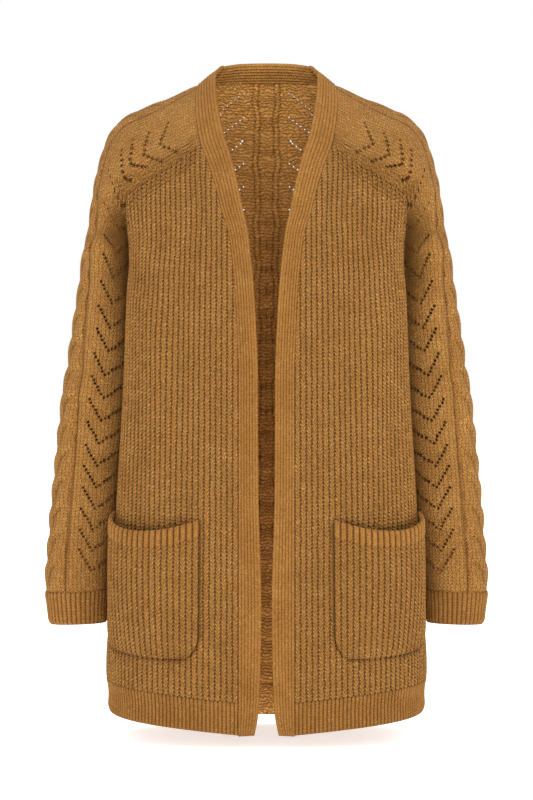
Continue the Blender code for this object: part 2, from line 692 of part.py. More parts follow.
def add_cuffs():
    place = np.array([SLEEVE_END, CUFF_END])
    start, end = seam_offsets(place)
    columns = 2 * CUFF_RIBS + 1
    offsets = np.linspace(start, end, columns, axis=1)
    grid = sleeve_point(place, offsets)
    centre = grid.mean(axis=1, keepdims=True)
    facing = grid_normals(grid, grid - centre)
    facing[..., 2] = 0.0
    facing[:, (0, -1)] = (-1.0, 0.0, 0.0)
    facing = unit(facing)
    half = SEAM_GAP / 2
    grid[:, 0, 1] -= half
    grid[:, -1, 1] += half
    grid[0, :, 2] -= half
    rise = ribs(CUFF_RIBS, columns, FINE_RIB)[None, :, None]
    outer = grid + facing * (WALL_OUT + rise)
    inner = grid - facing * WALL_IN
    add_pair("cuff", outer, inner, np.arange(2), spaced(columns, 4))


# ---------------------------------------------------------------- band
def band_seam():
    """Seam of the band from the hem to the middle of the back, with its places."""
    grid, _ = front_grid()
    lower = grid[:, 0].copy()
    lower[:, 0] = FRONT_EDGE
    lower[-1] = NECK_EDGE[0]
    hem = torso(0.0, HEM_FRONT_LOW - BAND_LOWER, -1)[None]
    lower_place = (lower[:, 2] - HEM_FRONT_LOW) / (SLANT_START - HEM_FRONT_LOW)
    edge_x = np.linspace(NECK_EDGE[0, 0], NECK_EDGE[-1, 0], EDGE_RIBS + 1)[1:]
    edge = smooth(NECK_EDGE[:, 0], NECK_EDGE, edge_x)
    edge_place = 1 + np.arange(1, EDGE_RIBS + 1) / EDGE_RIBS
    offsets, _ = sleeve_offsets(np.array([0.0]))
    ring = sleeve_point(np.array([0.0]), offsets)[0]
    ring_place = ring_band_place(len(ring))
    neck_x = np.linspace(0.0, BACK_NECK[-1, 0], BACK_NECK_COLUMNS + 1)[::-1][1:]
    neck = smooth(BACK_NECK[:, 0], BACK_NECK, neck_x)
    neck_place = 4 + np.arange(1, BACK_NECK_COLUMNS + 1) / BACK_NECK_COLUMNS
    points = np.concatenate([hem, lower, edge, ring[2::2], neck])
    place = np.concatenate([[0.0], lower_place, edge_place, ring_place[2::2], neck_place])
    return points, place


def add_band():
    points, place = band_seam()
    row = smooth(BAND[:, 0], BAND[:, 1:], place)
    across, normals = row[:, :3], unit(row[:, 3:])
    side = seam_sides(points, normals, across)
    side[-1] = unit(across[-1:])[0]
    columns = 2 * BAND_RIBS + 1
    step = np.linspace(0.0, 1.0, columns)[None, :, None]
    start = points + side * SEAM_GAP / 2
    end = points + across
    grid = start[:, None] + (end - start)[:, None] * step
    facing = np.broadcast_to(normals[:, None], grid.shape).copy()
    free = grid_normals(grid, facing)
    facing[:, 1:] = unit(facing + (free - facing) * np.minimum(1.0, 3 * step))[:, 1:]
    rise = ribs(BAND_RIBS, columns, FINE_RIB)[None, :, None]
    outer = grid + facing * (BAND_OUT + rise)
    inner = grid - facing * BAND_OUT
    flip = np.array([-1.0, 1.0, 1.0])
    whole_outer = np.concatenate([outer, outer[-2::-1] * flip])
    whole_inner = np.concatenate([inner, inner[-2::-1] * flip])
    add_wall("front_band", whole_outer, whole_inner, np.arange(len(whole_outer)), spaced(columns, 7))


# ---------------------------------------------------------------- pockets
def add_pockets():
    columns = 2 * POCKET_RIBS + 1
    across = np.linspace(0.0, 1.0, columns)[None, :]
    up = POCKET_LEVELS[:, None]
    low = POCKET_LOW + POCKET_LOW_RISE * across ** 2
    corners = POCKET_TOP_IN + (POCKET_TOP_OUT - POCKET_TOP_IN) * across
    top = corners - POCKET_SAG * 4 * across * (1 - across) * (0.75 + 0.25 * across)
    heights = low + (top - low) * up
    turn = np.clip(1 - (heights - low) / POCKET_CORNER, 0.0, 0.99)
    shrink = POCKET_CORNER_SHARE * (1 - np.sqrt(1 - turn ** 2))
    shares = (POCKET_IN + shrink) + (POCKET_OUT - POCKET_IN - 2 * shrink) * across
    base = torso(shares, heights, -1)
    facing = grid_normals(base, np.array([0.3, -1.0, 0.0]))
    arch = 4 * across * (1 - across)
    belly = POCKET_BULGE * (arch * np.sin(math.pi * up / 2)) ** 0.7 * (1 - up ** 3)
    mouth = POCKET_GAPE * arch ** 0.6 * up ** 3
    lift = WALL_OUT + BODY_RIB + SEAM_GAP + WALL_IN + belly + mouth
    grid = base + facing * lift[..., None]
    rise = ribs(POCKET_RIBS, columns, BODY_RIB)[None, :, None]
    outer = grid + facing * (WALL_OUT + rise)
    inner = grid - facing * WALL_IN
    add_pair("pocket", outer, inner, np.arange(len(up)), spaced(columns, 2))


def main():
    for old in list(bpy.data.objects):
        bpy.data.objects.remove(old, do_unlink=True)
    add_fronts()
    add_back()
    add_hems()
    add_sleeves()
    add_cuffs()
    add_band()
    add_pockets()


main()
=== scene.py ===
"""Open-front cardigan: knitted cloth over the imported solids, its wool, and a small studio."""

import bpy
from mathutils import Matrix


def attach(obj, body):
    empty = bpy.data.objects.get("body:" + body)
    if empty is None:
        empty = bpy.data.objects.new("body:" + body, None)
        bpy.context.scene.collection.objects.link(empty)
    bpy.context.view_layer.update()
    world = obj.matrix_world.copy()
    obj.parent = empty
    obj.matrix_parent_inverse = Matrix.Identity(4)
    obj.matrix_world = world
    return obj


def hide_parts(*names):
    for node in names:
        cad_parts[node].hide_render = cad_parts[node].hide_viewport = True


bl_info = {
    "name": "Open-front cardigan",
    "version": (1, 0, 0),
    "blender": (4, 5, 0),
    "location": "View3D > Sidebar > Cardigan",
    "description": "Builds the knitted pieces of an open-front cardigan, their wool and a studio",
    "category": "Mesh",
}

import math
from typing import NamedTuple

import bpy
import numpy as np
from bpy.props import FloatProperty, FloatVectorProperty, IntProperty, PointerProperty
from mathutils import Vector

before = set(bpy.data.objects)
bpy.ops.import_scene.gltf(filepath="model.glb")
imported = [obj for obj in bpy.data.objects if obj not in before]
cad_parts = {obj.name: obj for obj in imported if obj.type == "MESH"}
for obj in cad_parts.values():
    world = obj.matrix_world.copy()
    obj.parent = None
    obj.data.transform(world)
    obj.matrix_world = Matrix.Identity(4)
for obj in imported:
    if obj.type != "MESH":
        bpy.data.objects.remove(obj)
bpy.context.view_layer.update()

# ---------------------------------------------------------------- hanging form, metres
FRONT_ACROSS = 0.26      # length round a front from its edge to the side seam
FRONT_EDGE = 0.0325      # from the middle of the body to the front panel's straight edge
EDGE_RIBS = 7            # ribs that end on the slanted neck edge
ARM_RIBS = 29            # ribs that end on the raglan seam
HEM_RIBS = 52            # ribs across one front's hem
BACK_HEM_RIBS = 132      # ribs across the back's hem
CUFF_RIBS = 40
BAND_RIBS = 7
POCKET_RIBS = 20
HEM_FRONT_LOW = -0.771   # lower edge of the hem at the band
HEM_FRONT_RISE = 0.024   # how much higher it is at the side seam
HEM_BACK_LOW = -0.775
HEM_BACK_RISE = 0.028
HEM_DEEP = 0.038
SLANT_START = -0.340     # height where the front edge leaves the vertical
SQUARE = 2.9             # roundness of the body's cross-section, 2 is an ellipse
TUCK_SPAN = 0.060        # how far round the body the tuck under the arm reaches
EASE = 0.110             # depth over which a panel settles from its seam to the hanging form
EASE_LESS = 0.65         # share by which that depth is less at the side seam
BODY_POINTS = 91         # points on a quarter of the body's cross-section
RING_POINTS = 65         # points on half a ring of the sleeve
SEAM_STATIONS = 14       # even steps along the raglan seam as seen from above

#  height, half width, front depth, back depth, tuck under the arm
BODY = np.array([
    (-0.790, 0.1880, 0.1400, 0.1260, 0.000),
    (-0.700, 0.1890, 0.1400, 0.1250, 0.000),
    (-0.600, 0.1885, 0.1390, 0.1210, 0.010),
    (-0.500, 0.1880, 0.1380, 0.1160, 0.022),
    (-0.400, 0.1855, 0.1370, 0.1120, 0.031),
    (-0.320, 0.1830, 0.1365, 0.1120, 0.034),
    (-0.250, 0.1805, 0.1340, 0.1120, 0.034),
    (-0.200, 0.1800, 0.1290, 0.1120, 0.033),
    (-0.160, 0.1790, 0.1210, 0.1100, 0.025),
    (-0.120, 0.1770, 0.1080, 0.1060, 0.010),
    (-0.090, 0.1720, 0.0930, 0.1010, 0.000),
    (-0.060, 0.1660, 0.0730, 0.0940, 0.000),
    (-0.030, 0.1580, 0.0550, 0.0830, 0.000),
    (0.010, 0.1450, 0.0300, 0.0620, 0.000),
])
#  x, y, z of the front's slanted edge
NECK_EDGE = np.array([
    (0.0325, -0.1365, -0.3400),
    (0.0358, -0.1345, -0.2680),
    (0.0410, -0.1300, -0.2106),
    (0.0520, -0.1200, -0.1650),
    (0.0635, -0.1060, -0.1220),
    (0.0765, -0.0850, -0.0860),
])
#  crest x, crest z, front seam x, y, z, back seam x, y, z, front reach, back reach
CAP = np.array([
    (0.0800, -0.0050, 0.0765, -0.0850, -0.0860, 0.0700, 0.0600, 0.0010, 0.046, 0.020),
    (0.1100, -0.0195, 0.0960, -0.0890, -0.1000, 0.0885, 0.0715, -0.0230, 0.047, 0.029),
    (0.1438, -0.0326, 0.1150, -0.0915, -0.1130, 0.1075, 0.0830, -0.0490, 0.049, 0.036),
    (0.1710, -0.0465, 0.1320, -0.0905, -0.1230, 0.1255, 0.0870, -0.0740, 0.051, 0.043),
    (0.1850, -0.0620, 0.1480, -0.0840, -0.1320, 0.1430, 0.0835, -0.0990, 0.053, 0.049),
    (0.1955, -0.0904, 0.1620, -0.0700, -0.1430, 0.1590, 0.0700, -0.1260, 0.057, 0.056),
    (0.2025, -0.1240, 0.1640, -0.0420, -0.1650, 0.1640, 0.0440, -0.1580, 0.066, 0.066),
    (0.2080, -0.1620, 0.1490, 0.0000, -0.1860, 0.1490, 0.0000, -0.1860, 0.075, 0.073),
])
CREST_BACK = 0.010       # how far the crest lies behind the middle at the neck
CREST_SLOPE = 0.10       # slope of a ring where it leaves the crest at the neck
RING_SOFTER = 0.35       # share by which a ring is flatter at its seams halfway down the cap
RING_OUT = 0.6           # how far outward a ring leaves its seam at the underarm
HALF_ROUND = 4 / 3       # pull of a curve that makes it half an ellipse
# Slope in degrees at the neck, and the power by which it turns upright to the underarm.
RING_LEAN_FRONT = (-37.0, 1.6)
RING_LEAN_BACK = (-80.0, 1.0)
SEAM_LEAN_FRONT = (-40.0, 2.2)
SEAM_LEAN_BACK = (-45.0, 1.6)
SEAM_OUT = 0.22          # how far the cloth at the raglan seam faces outward at the neck
#  outer x, outer z, inner x, inner z, front depth, back depth, forward, fold
ARM = np.array([
    (0.2148, -0.2000, 0.1580, -0.2050, 0.0550, 0.0530, 0.000, 0.40),
    (0.2225, -0.2500, 0.1585, -0.2540, 0.0545, 0.0520, 0.001, 0.20),
    (0.2310, -0.3050, 0.1590, -0.3080, 0.0530, 0.0500, 0.003, 0.10),
    (0.2400, -0.3600, 0.1615, -0.3620, 0.0505, 0.0475, 0.006, 0.05),
    (0.2485, -0.4270, 0.1670, -0.4270, 0.0475, 0.0450, 0.010, 0.00),
    (0.2557, -0.5040, 0.1765, -0.5020, 0.0440, 0.0420, 0.014, 0.00),
    (0.2610, -0.5700, 0.1850, -0.5670, 0.0410, 0.0390, 0.016, 0.00),
    (0.2625, -0.6120, 0.1895, -0.6100, 0.0385, 0.0365, 0.017, 0.00),
    (0.2600, -0.6320, 0.1910, -0.6300, 0.0355, 0.0345, 0.017, 0.00),
    (0.2580, -0.6510, 0.1915, -0.6490, 0.0340, 0.0330, 0.017, 0.00),
])
CUFF_START = 7           # row of the arm where the cuff is sewn on
# Band: place along its seam, vector across it from the seam to the free edge, outward normal.
# Places: 0 hem, 1 start of the slant, 2 raglan, 3 crest, 4 back raglan, 5 middle of the back.
#  place, across x, y, z, normal x, y, z
BAND = np.array([
    (0.000, -0.0186, 0.0000, 0.0010, 0.00, -1.00, 0.00),
    (0.060, -0.0231, 0.0000, 0.0000, 0.00, -1.00, 0.00),
    (0.350, -0.0266, -0.0006, 0.0000, 0.00, -1.00, 0.00),
    (0.630, -0.0235, -0.0010, 0.0000, 0.00, -1.00, 0.00),
    (1.000, -0.0226, -0.0014, 0.0005, 0.00, -1.00, 0.02),
    (1.200, -0.0218, -0.0010, 0.0036, 0.03, -0.99, 0.10),
    (1.500, -0.0245, -0.0018, 0.0060, 0.10, -0.94, 0.30),
    (2.000, -0.0272, 0.0010, 0.0100, 0.22, -0.75, 0.60),
    (2.500, -0.0250, 0.0030, 0.0140, 0.38, -0.40, 0.82),
    (3.000, -0.0225, 0.0010, 0.0182, 0.62, 0.00, 0.78),
    (3.500, -0.0210, -0.0050, 0.0172, 0.58, 0.35, 0.73),
    (4.000, -0.0185, -0.0095, 0.0211, 0.42, 0.62, 0.62),
    (4.500, -0.0085, -0.0120, 0.0225, 0.12, 0.88, 0.44),
    (5.000, 0.0000, -0.0125, 0.0225, 0.00, 0.90, 0.43),
])
BAND_OUT = 0.0012        # half thickness of the band under its ribs
BAND_LOWER = 0.0010      # how much lower the band hangs than the hem
#  x, y, z of the back's neckline
BACK_NECK = np.array([
    (0.0000, 0.0735, 0.0045),
    (0.0250, 0.0728, 0.0042),
    (0.0480, 0.0695, 0.0032),
    (0.0700, 0.0600, 0.0010),
])
BACK_CABLES = (0.0, 0.103)   # cables of the back, from its middle
BACK_LACE = (0.057, 0.146)   # lace columns of the back, from its middle

# ---------------------------------------------------------------- pockets
POCKET_IN = 0.190            # its sides, as shares of the way round the front
POCKET_OUT = 0.735
POCKET_LOW = -0.6830
POCKET_LOW_RISE = 0.0080     # how much higher its lower edge is at the side
POCKET_TOP_IN = -0.5220      # upper corner next to the band
POCKET_TOP_OUT = -0.5150     # upper corner at the side
POCKET_SAG = 0.0190          # how far the mouth hangs between its corners
POCKET_CORNER = 0.0300       # height of the rounded lower corners
POCKET_CORNER_SHARE = 0.085  # their width, as a share of the way round the front
POCKET_LIFT = 0.0046         # from the middle of the front's cloth to that of the pocket's edge
POCKET_BULGE = 0.0150        # how far the pouch stands away from the front
POCKET_GAPE = 0.0110         # how far the mouth stands open
WELT_DEEP = 0.020            # ribbed edge along the pocket's mouth

# ---------------------------------------------------------------- stitches
CLOTH_OUT = 0.0007       # from the middle of the cloth to the bottom of its ribs
CLOTH_IN = 0.0010        # from the middle of the cloth to its inner face
INSIDE_SHADE = 0.3       # painted shade on the plain inner side of a piece
NARROW_PITCH = 0.0040    # from one rib of a hem, cuff or band to the next
NARROW_ROUND = 2.4       # how square those ribs are, 2 is a round one
SEAM_PITCH = 0.0046      # from one rib beside a raglan seam to the next
SEAM_RIB = 0.0026        # height of those ribs on a sleeve
SEAM_RIB_FRONT = 1.2     # their height on a front, in ribs of the front
FRONT_STRIP = (0.0165, 0.0200)    # from the raglan seam to where its ribs start to fade and end
SLEEVE_STRIP = (0.0150, 0.0185)
CABLE_HALF = 0.0190      # half width of the sleeve's rope cable
BACK_CABLE_HALF = 0.0108 # the same on the back
STRAND_SWING = 0.50      # how far its strands swing aside, in half widths of the cable
STRAND_HALF = 0.62       # half width of a strand, in half widths of the cable
STRAND_RISE = 0.68       # height of a strand that goes neither over nor under
GROOVE_AT = 1.12         # place of the groove beside a cable, in half widths of the cable
GROOVE_WIDE = 0.11       # its width, in the same measure
GROOVE_DEEP = 0.25       # its depth, in heights of the cable
CABLE_PITCH = 0.0330     # from one crossing of a cable to the next
CABLE_GROWS = (0.10, 0.26)    # places on the sleeve between which its cable comes to full height
BACK_PITCH = 0.0290      # the same on the back, and from one lace point to the next
#  place on the sleeve, offset of the cable's middle line from the crest
CABLE_LINE = np.array([
    (0.000, -0.0050),
    (0.020, -0.0100),
    (0.060, -0.0215),
    (0.110, -0.0255),
    (0.165, -0.0400),
    (0.205, -0.0310),
    (0.240, -0.0270),
    (0.330, -0.0275),
    (0.450, -0.0310),
    (0.560, -0.0300),
    (0.680, -0.0265),
])
#  place and offset of a lace point on the sleeve, width and rise of its front and its outer arm
LACE = np.array([
    (0.0631, -0.1040, -0.0200, 0.020, 0.0280, 0.022),
    (0.0955, -0.1085, -0.0200, 0.020, 0.0280, 0.022),
    (0.1166, -0.1065, -0.0180, 0.015, 0.0260, 0.018),
    (0.1360, -0.1080, -0.0100, 0.007, 0.0260, 0.018),
    (0.1765, -0.1015, -0.0180, 0.014, 0.0240, 0.022),
    (0.2220, -0.0860, -0.0300, 0.020, 0.0170, 0.025),
    (0.2687, -0.0822, -0.0340, 0.0200, 0.0155, 0.0255),
])
LACE_PITCHES = (0.0308, 0.0243)   # between lace points below the underarm and at the cuff
LACE_COUNT = 14
LACE_DRIFT = 0.0002          # how much nearer to the crest each point down the arm lies
LACE_SPACING = 0.0054        # from one eyelet of a sleeve to the next
CAP_SPACING = 1.2            # the same above the underarm, in spacings of the arm
BACK_LACE_ARM = (0.0285, 0.0250)    # width and rise of a lace arm on the back
BACK_LACE_SPACING = 0.0066
BACK_LACE_START = 0.012      # from the hem's seam to the lowest point of the lace
BACK_EYELET = 0.0016         # width of an eyelet
SLEEVE_EYELET = 0.0028
TURNED_EYELET = 0.0036       # the same where the sleeve turns away from the front
TURNED_FROM = -0.088         # offset from the crest where it does
FRONT_FINE = (22, 0.036)     # rows close together at the top of a front, and their share of it
BACK_FINE = (22, 0.075)      # columns close together by the back's middle, and their share of half
SLEEVE_COLUMNS = (36, 30, 24)    # columns before, on and behind the cable
STRIP_COLUMNS = 18           # columns beside each seam of a sleeve
STRIP_WIDE = 0.030           # width of those columns together
BACK_RIDGE = 0.0024          # height of the ridges beside a cable on the back's inner side
BACK_LUMP = 0.0013           # height of the middle cable's crossings there
EDGE_CURL = 0.0012           # how far the free edge of a hem or cuff curls in
EDGE_DRAW = 0.0022           # how far a hem draws in
BAND_ROLL = (0.0008, 0.0006)    # how far the band's free edges round off, outside and inside
BAND_RIB_INSIDE = 2.6        # height of its ribs on the inside round the neck, in those outside
BAND_FLATTER = 0.55          # share by which its ribs next to the free edge are lower
BAND_FLATTENS = (4.6, 6.2)   # ribs, counted from the seam, over which they get lower
NECK_PLACES = (2.2, 3.0)     # places on the band over which its ribs come to show on the inside
WELT_RISE = 0.0006           # how much a pocket's welt stands out

# ---------------------------------------------------------------- painted shade in the grooves
SEAM_DARK = 1.6              # painted shade between the ribs beside a front's raglan seam
POCKET_SHADOW_DARK = 2.6           # painted shadow on the front along a pocket's seam
MOUTH_DARK = 2.0             # painted shade on the front over a pocket's mouth
EYELET_DARK = 0.6            # painted shade round a sleeve's eyelet
TURNED_DARK = 0.5            # and how much more painted shade where the sleeve turns away
BACK_EYELET_DARK = 0.5
BACK_INSIDE_DARK = 0.45      # painted shade on the back's inner side, away from the ridges
FURROW_DARK = 0.8            # painted shade beside the ridges
CROSSING_DARK = 0.35         # painted shade between the middle cable's crossings
BAND_INSIDE_DARK = 0.25      # painted shade on the band's plain inner side


# ---------------------------------------------------------------- curves and grids
def even_slopes(stations, values):
    """Slope at each row, flat at a row that is higher or lower than both its neighbours."""
    slope = np.gradient(values, stations, axis=0)
    steps = np.diff(values, axis=0) / np.diff(stations)[:, None]
    before, after = steps[:-1], steps[1:]
    limit = 2.5 * np.minimum(np.abs(before), np.abs(after)) * (before * after > 0)
    slope[1:-1] = np.clip(slope[1:-1], -limit, limit)
    return slope


def smooth(stations, values, wanted):
    """Smooth curve through a table's rows."""
    values = np.asarray(values, float)
    if values.ndim == 1:
        values = values[:, None]
    wanted = np.atleast_1d(np.asarray(wanted, float))
    slope = even_slopes(stations, values)
    low = np.clip(np.searchsorted(stations, wanted, side="right") - 1, 0, len(stations) - 2)
    span = (stations[low + 1] - stations[low])[:, None]
    t = np.clip((wanted[:, None] - stations[low][:, None]) / span, 0.0, 1.0)
    start = (1 + 2 * t) * (1 - t) ** 2 * values[low] + t * (1 - t) ** 2 * span * slope[low]
    end = t * t * (3 - 2 * t) * values[low + 1] + t * t * (t - 1) * span * slope[low + 1]
    return start + end


def ease(value, low, high):
    """From 0 at low to 1 at high, smooth at both ends."""
    t = np.clip((value - low) / (high - low), 0.0, 1.0)
    return t * t * (3 - 2 * t)


def faded(share, kept):
    """Factor of 1 where the share is 1, down to what is kept where it is 0."""
    return kept + (1 - kept) * share


def run_length(points):
    """Length along runs of points, zero at the first one."""
    steps = np.linalg.norm(np.diff(points, axis=-2), axis=-1)
    start = np.zeros(steps.shape[:-1] + (1,))
    return np.concatenate([start, np.cumsum(steps, axis=-1)], axis=-1)


def run_height(grid):
    """Length up the columns of a grid of points, zero at the first row."""
    return np.swapaxes(run_length(np.swapaxes(grid, 0, 1)), 0, 1)


def unit(vectors):
    """The vectors at a length of 1."""
    return vectors / np.maximum(np.linalg.norm(vectors, axis=-1, keepdims=True), 1e-12)


def grid_normals(grid, outward):
    """Normals of a grid of points, on the side that outward points to over most of it."""
    normals = unit(np.cross(np.gradient(grid, axis=1), np.gradient(grid, axis=0)))
    return normals * np.sign(np.sum(normals * outward))


def panel_normals(grid, face):
    """Outward normals of a piece of the body's left half; face -1 is the front and 1 the back."""
    return grid_normals(grid, np.array([0.3, face, 0.2]))


def tube_normals(grid):
    """Outward normals of a tube whose rows run round it."""
    return grid_normals(grid, grid - grid.mean(axis=1, keepdims=True))


def blended(facing, edge, axis, index, reach):
    """Normals that turn to those of a seam over the last rows or columns next to it."""
    facing = np.moveaxis(facing.copy(), axis, 0)
    if index < 0:
        facing = facing[::-1]
    for k in range(reach):
        share = 1 - ease(float(k), 0.0, float(reach))
        facing[k] = unit(facing[k] * (1 - share) + edge * share)
    if index < 0:
        facing = facing[::-1]
    return np.moveaxis(facing, 0, axis)


def body_form(share, height, face):
    """Point of the hanging body. Share 0 is the middle edge and 1 the side; face -1 is front."""
    share, height = np.broadcast_arrays(share, height)
    wide, front, back, tuck = smooth(BODY[:, 0], BODY[:, 1:], height.ravel()).T
    deep = front if face < 0 else back
    turn = np.linspace(0.0, math.pi / 2, BODY_POINTS)
    x = wide[:, None] * np.sin(turn) ** (2 / SQUARE)
    y = face * deep[:, None] * np.cos(turn) ** (2 / SQUARE)
    x = x - tuck[:, None] * np.exp(-(y / TUCK_SPAN) ** 2)
    length = run_length(np.stack([x, y], axis=-1))
    found = np.empty((x.shape[0], 2))
    for i, part in enumerate(share.ravel()):
        start = np.interp(FRONT_EDGE, x[i], length[i]) if face < 0 else 0.0
        goal = start + part * (length[i, -1] - start)
        found[i] = np.interp(goal, length[i], x[i]), np.interp(goal, length[i], y[i])
    return np.column_stack([found, height.ravel()]).reshape(share.shape + (3,))


def neck_edge(share):
    """Points of the front's slanted edge, by share of the way from the start of the slant."""
    x = NECK_EDGE[0, 0] + share * (NECK_EDGE[-1, 0] - NECK_EDGE[0, 0])
    return smooth(NECK_EDGE[:, 0], NECK_EDGE, x)


def back_neck(share):
    """Points of the back's neckline, by share of the way from the middle to the raglan seam."""
    return smooth(BACK_NECK[:, 0], BACK_NECK, share * BACK_NECK[-1, 0])


def band_normals(place):
    """Outward normals of the band's seam, by its places."""
    return unit(smooth(BAND[:, 0], BAND[:, 4:], place))


# ---------------------------------------------------------------- sleeve form
def lean(setting, part):
    """Slope in radians at a part of the way from the neck to the underarm."""
    degrees, power = setting
    return np.radians(degrees + (90.0 - degrees) * part ** power)


def sleeve_rings():
    """Rings of the sleeve: crest, front seam, back seam, and the four pulls that round them."""
    rows = []
    last = len(CAP) - 1
    for k, row in enumerate(CAP):
        part = k / last
        crest = np.array([row[0], CREST_BACK * (1 - part), row[1]])
        lean_front = lean(RING_LEAN_FRONT, part)
        lean_back = lean(RING_LEAN_BACK, part)
        side = RING_OUT * math.sin(math.pi * min(part, 0.5)) + 0.2 * (1 - part)
        pull_front = unit(np.array([side, -math.sin(lean_front), math.cos(lean_front)]))
        pull_back = unit(np.array([side, math.sin(lean_back), math.cos(lean_back)]))
        rise = CREST_SLOPE * (1 - part)
        softer = 1 - RING_SOFTER * math.sin(math.pi * part)
        crest_front = np.array([rise, -1.0, -rise])
        crest_back = np.array([0.0, 1.0, -0.2 * rise])
        rows.append(np.concatenate([
            crest, row[2:5], row[5:8],
            row[8] * crest_front, row[8] * softer * pull_front,
            row[9] * crest_back, row[9] * softer * pull_back]))
    for outer_x, outer_z, inner_x, inner_z, front, back, forward, fold in ARM:
        crest = np.array([outer_x, -forward, outer_z])
        seam = np.array([inner_x, -forward, inner_z])
        ahead = np.array([0.0, -HALF_ROUND * front, 0.0])
        behind = np.array([0.0, HALF_ROUND * back, 0.0])
        inward = np.array([fold * HALF_ROUND * front, 0.0, 0.0])
        pulls = [ahead, ahead + inward, behind, behind + inward]
        rows.append(np.concatenate([crest, seam, seam] + pulls))
    rows = np.array(rows)
    return run_length(rows[:, :3]), rows


RING_PLACE, RINGS = sleeve_rings()
UNDERARM = RING_PLACE[len(CAP) - 1]
SLEEVE_END = RING_PLACE[len(CAP) + CUFF_START]
CUFF_END = RING_PLACE[-1]


def ring_halves(place):
    """Both halves of the rings at these places, each from the crest to its seam."""
    row = smooth(RING_PLACE, RINGS, place).reshape(-1, 7, 3)
    t = np.linspace(0.0, 1.0, RING_POINTS)[None, :, None]
    halves = []
    for seam, near, far in ((1, 3, 4), (2, 5, 6)):
        p0 = row[:, None, 0]
        p3 = row[:, None, seam]
        p1 = p0 + row[:, None, near]
        p2 = p3 + row[:, None, far]
        halves.append((1 - t) ** 3 * p0 + 3 * t * (1 - t) ** 2 * p1
                      + 3 * t * t * (1 - t) * p2 + t ** 3 * p3)
    return halves


def sleeve_point(place, offset):
    """Points of the sleeve, offset in metres from the crest, forward below zero."""
    front, back = ring_halves(place)
    whole = np.concatenate([front[:, ::-1], back[:, 1:]], axis=1)
    length = run_length(whole)
    middle = front.shape[1] - 1
    points = np.empty(offset.shape + (3,))
    for i in range(len(whole)):
        goal = offset[i] + length[i, middle]
        for axis in range(3):
            points[i, :, axis] = np.interp(goal, length[i], whole[i, :, axis])
    return points


def seam_offsets(place):
    """Offsets of the front and the back seam from the crest."""
    front, back = ring_halves(place)
    return -run_length(front)[:, -1], run_length(back)[:, -1]


def raglan(number, face):
    """Raglan seam by ring number, 0 at the neck and the last at the underarm, with its normal."""
    last = len(CAP) - 1
    first = 2 if face < 0 else 5
    points = smooth(np.arange(last + 1.0), CAP[:, first:first + 3], number)
    part = np.atleast_1d(number) / last
    turn = lean(SEAM_LEAN_FRONT if face < 0 else SEAM_LEAN_BACK, part)
    side = SEAM_OUT * (1 - part)
    return points, unit(np.stack([side, face * np.cos(turn), -np.sin(turn)], axis=-1))


def raglan_numbers(share, face):
    """Ring numbers at shares of the raglan seam's length as seen from above."""
    fine = np.linspace(0.0, len(CAP) - 1, 400)
    points, _ = raglan(fine, -1)
    length = run_length(points[:, :2])
    numbers = np.interp(np.linspace(0.0, length[-1], SEAM_STATIONS), length, fine)
    if face < 0:
        return np.interp(share, np.linspace(0.0, 1.0, SEAM_STATIONS), numbers)
    points, _ = raglan(numbers, 1)
    length = run_length(points[:, :2])
    return np.interp(share, length / length[-1], numbers)


# ---------------------------------------------------------------- knitted relief
def rib_relief(place, height, sharp=2.0):
    """Ribs across a run of cloth, rounded on top with a narrow groove between them."""
    from_middle = np.abs(2 * (place - np.floor(place)) - 1)
    return height * (1 - from_middle ** sharp)


def ridge_at(value, middle, width):
    """1 where the value is at the middle, and falling away softly on both sides."""
    return np.exp(-((value - middle) / width) ** 2)


def waver(run, slow, fast):
    """Small wandering of a seam along its run."""
    return 0.0007 * np.sin(run * slow) + 0.0004 * np.sin(run * fast + 1.0)


def rope_relief(across, along, half, pitch, height):
    """Relief of a two-strand rope cable, and painted shade beside it and between its strands."""
    turn = math.pi * along / pitch
    swing = STRAND_SWING * np.cos(turn)
    over = -np.sin(turn)
    aside = across / half
    strands = []
    for centre, lift in ((swing, over), (-swing, -over)):
        bump = np.clip(1 - ((aside - centre) / STRAND_HALF) ** 2, 0.0, 1.0)
        strands.append((STRAND_RISE + (1 - STRAND_RISE) * lift) * np.sqrt(bump))
    groove = ridge_at(np.abs(aside), GROOVE_AT, GROOVE_WIDE)
    between = ridge_at(strands[0], strands[1], 0.40) * (np.minimum(*strands) > 0.1)
    relief = np.maximum(*strands) - GROOVE_DEEP * groove
    return height * relief, np.clip(groove + 0.9 * between, 0.0, 1.2)


def creases(across, along, rows):
    """Soft troughs and ridges: place across and along, half width, half length, lean, depth."""
    total = np.zeros(np.broadcast(across, along).shape)
    for middle, level, wide, long, slant, deep in rows:
        side = along - level
        total += deep * ridge_at(across, middle + slant * side, wide) * ridge_at(side, 0.0, long)
    return total


# ---------------------------------------------------------------- meshes
def zip_runs(first, second, kept):
    """Triangles between a run of vertices and the one beside it, which has only the kept ones."""
    a, b = 0, 0
    faces = []
    while a < len(first) - 1 or b < len(second) - 1:
        a_next = a + 1 if a < len(first) - 1 else len(first)
        b_next = kept[b + 1] if b < len(second) - 1 else len(first)
        if a_next <= 0.5 * (kept[b] + b_next) or b == len(second) - 1:
            faces.append((first[a], first[a + 1], second[b]))
            a += 1
        else:
            faces.append((first[a], second[b + 1], second[b]))
            b += 1
    return faces


def cell_corners(ids):
    """Vertices at the corners of a grid's cells."""
    return np.stack([ids[:-1, :-1], ids[:-1, 1:], ids[1:, 1:], ids[1:, :-1]], axis=-1)


def spaced(count, step):
    """Every so many numbers below count, with the last one."""
    return np.unique(np.append(np.arange(0, count, step), count - 1))


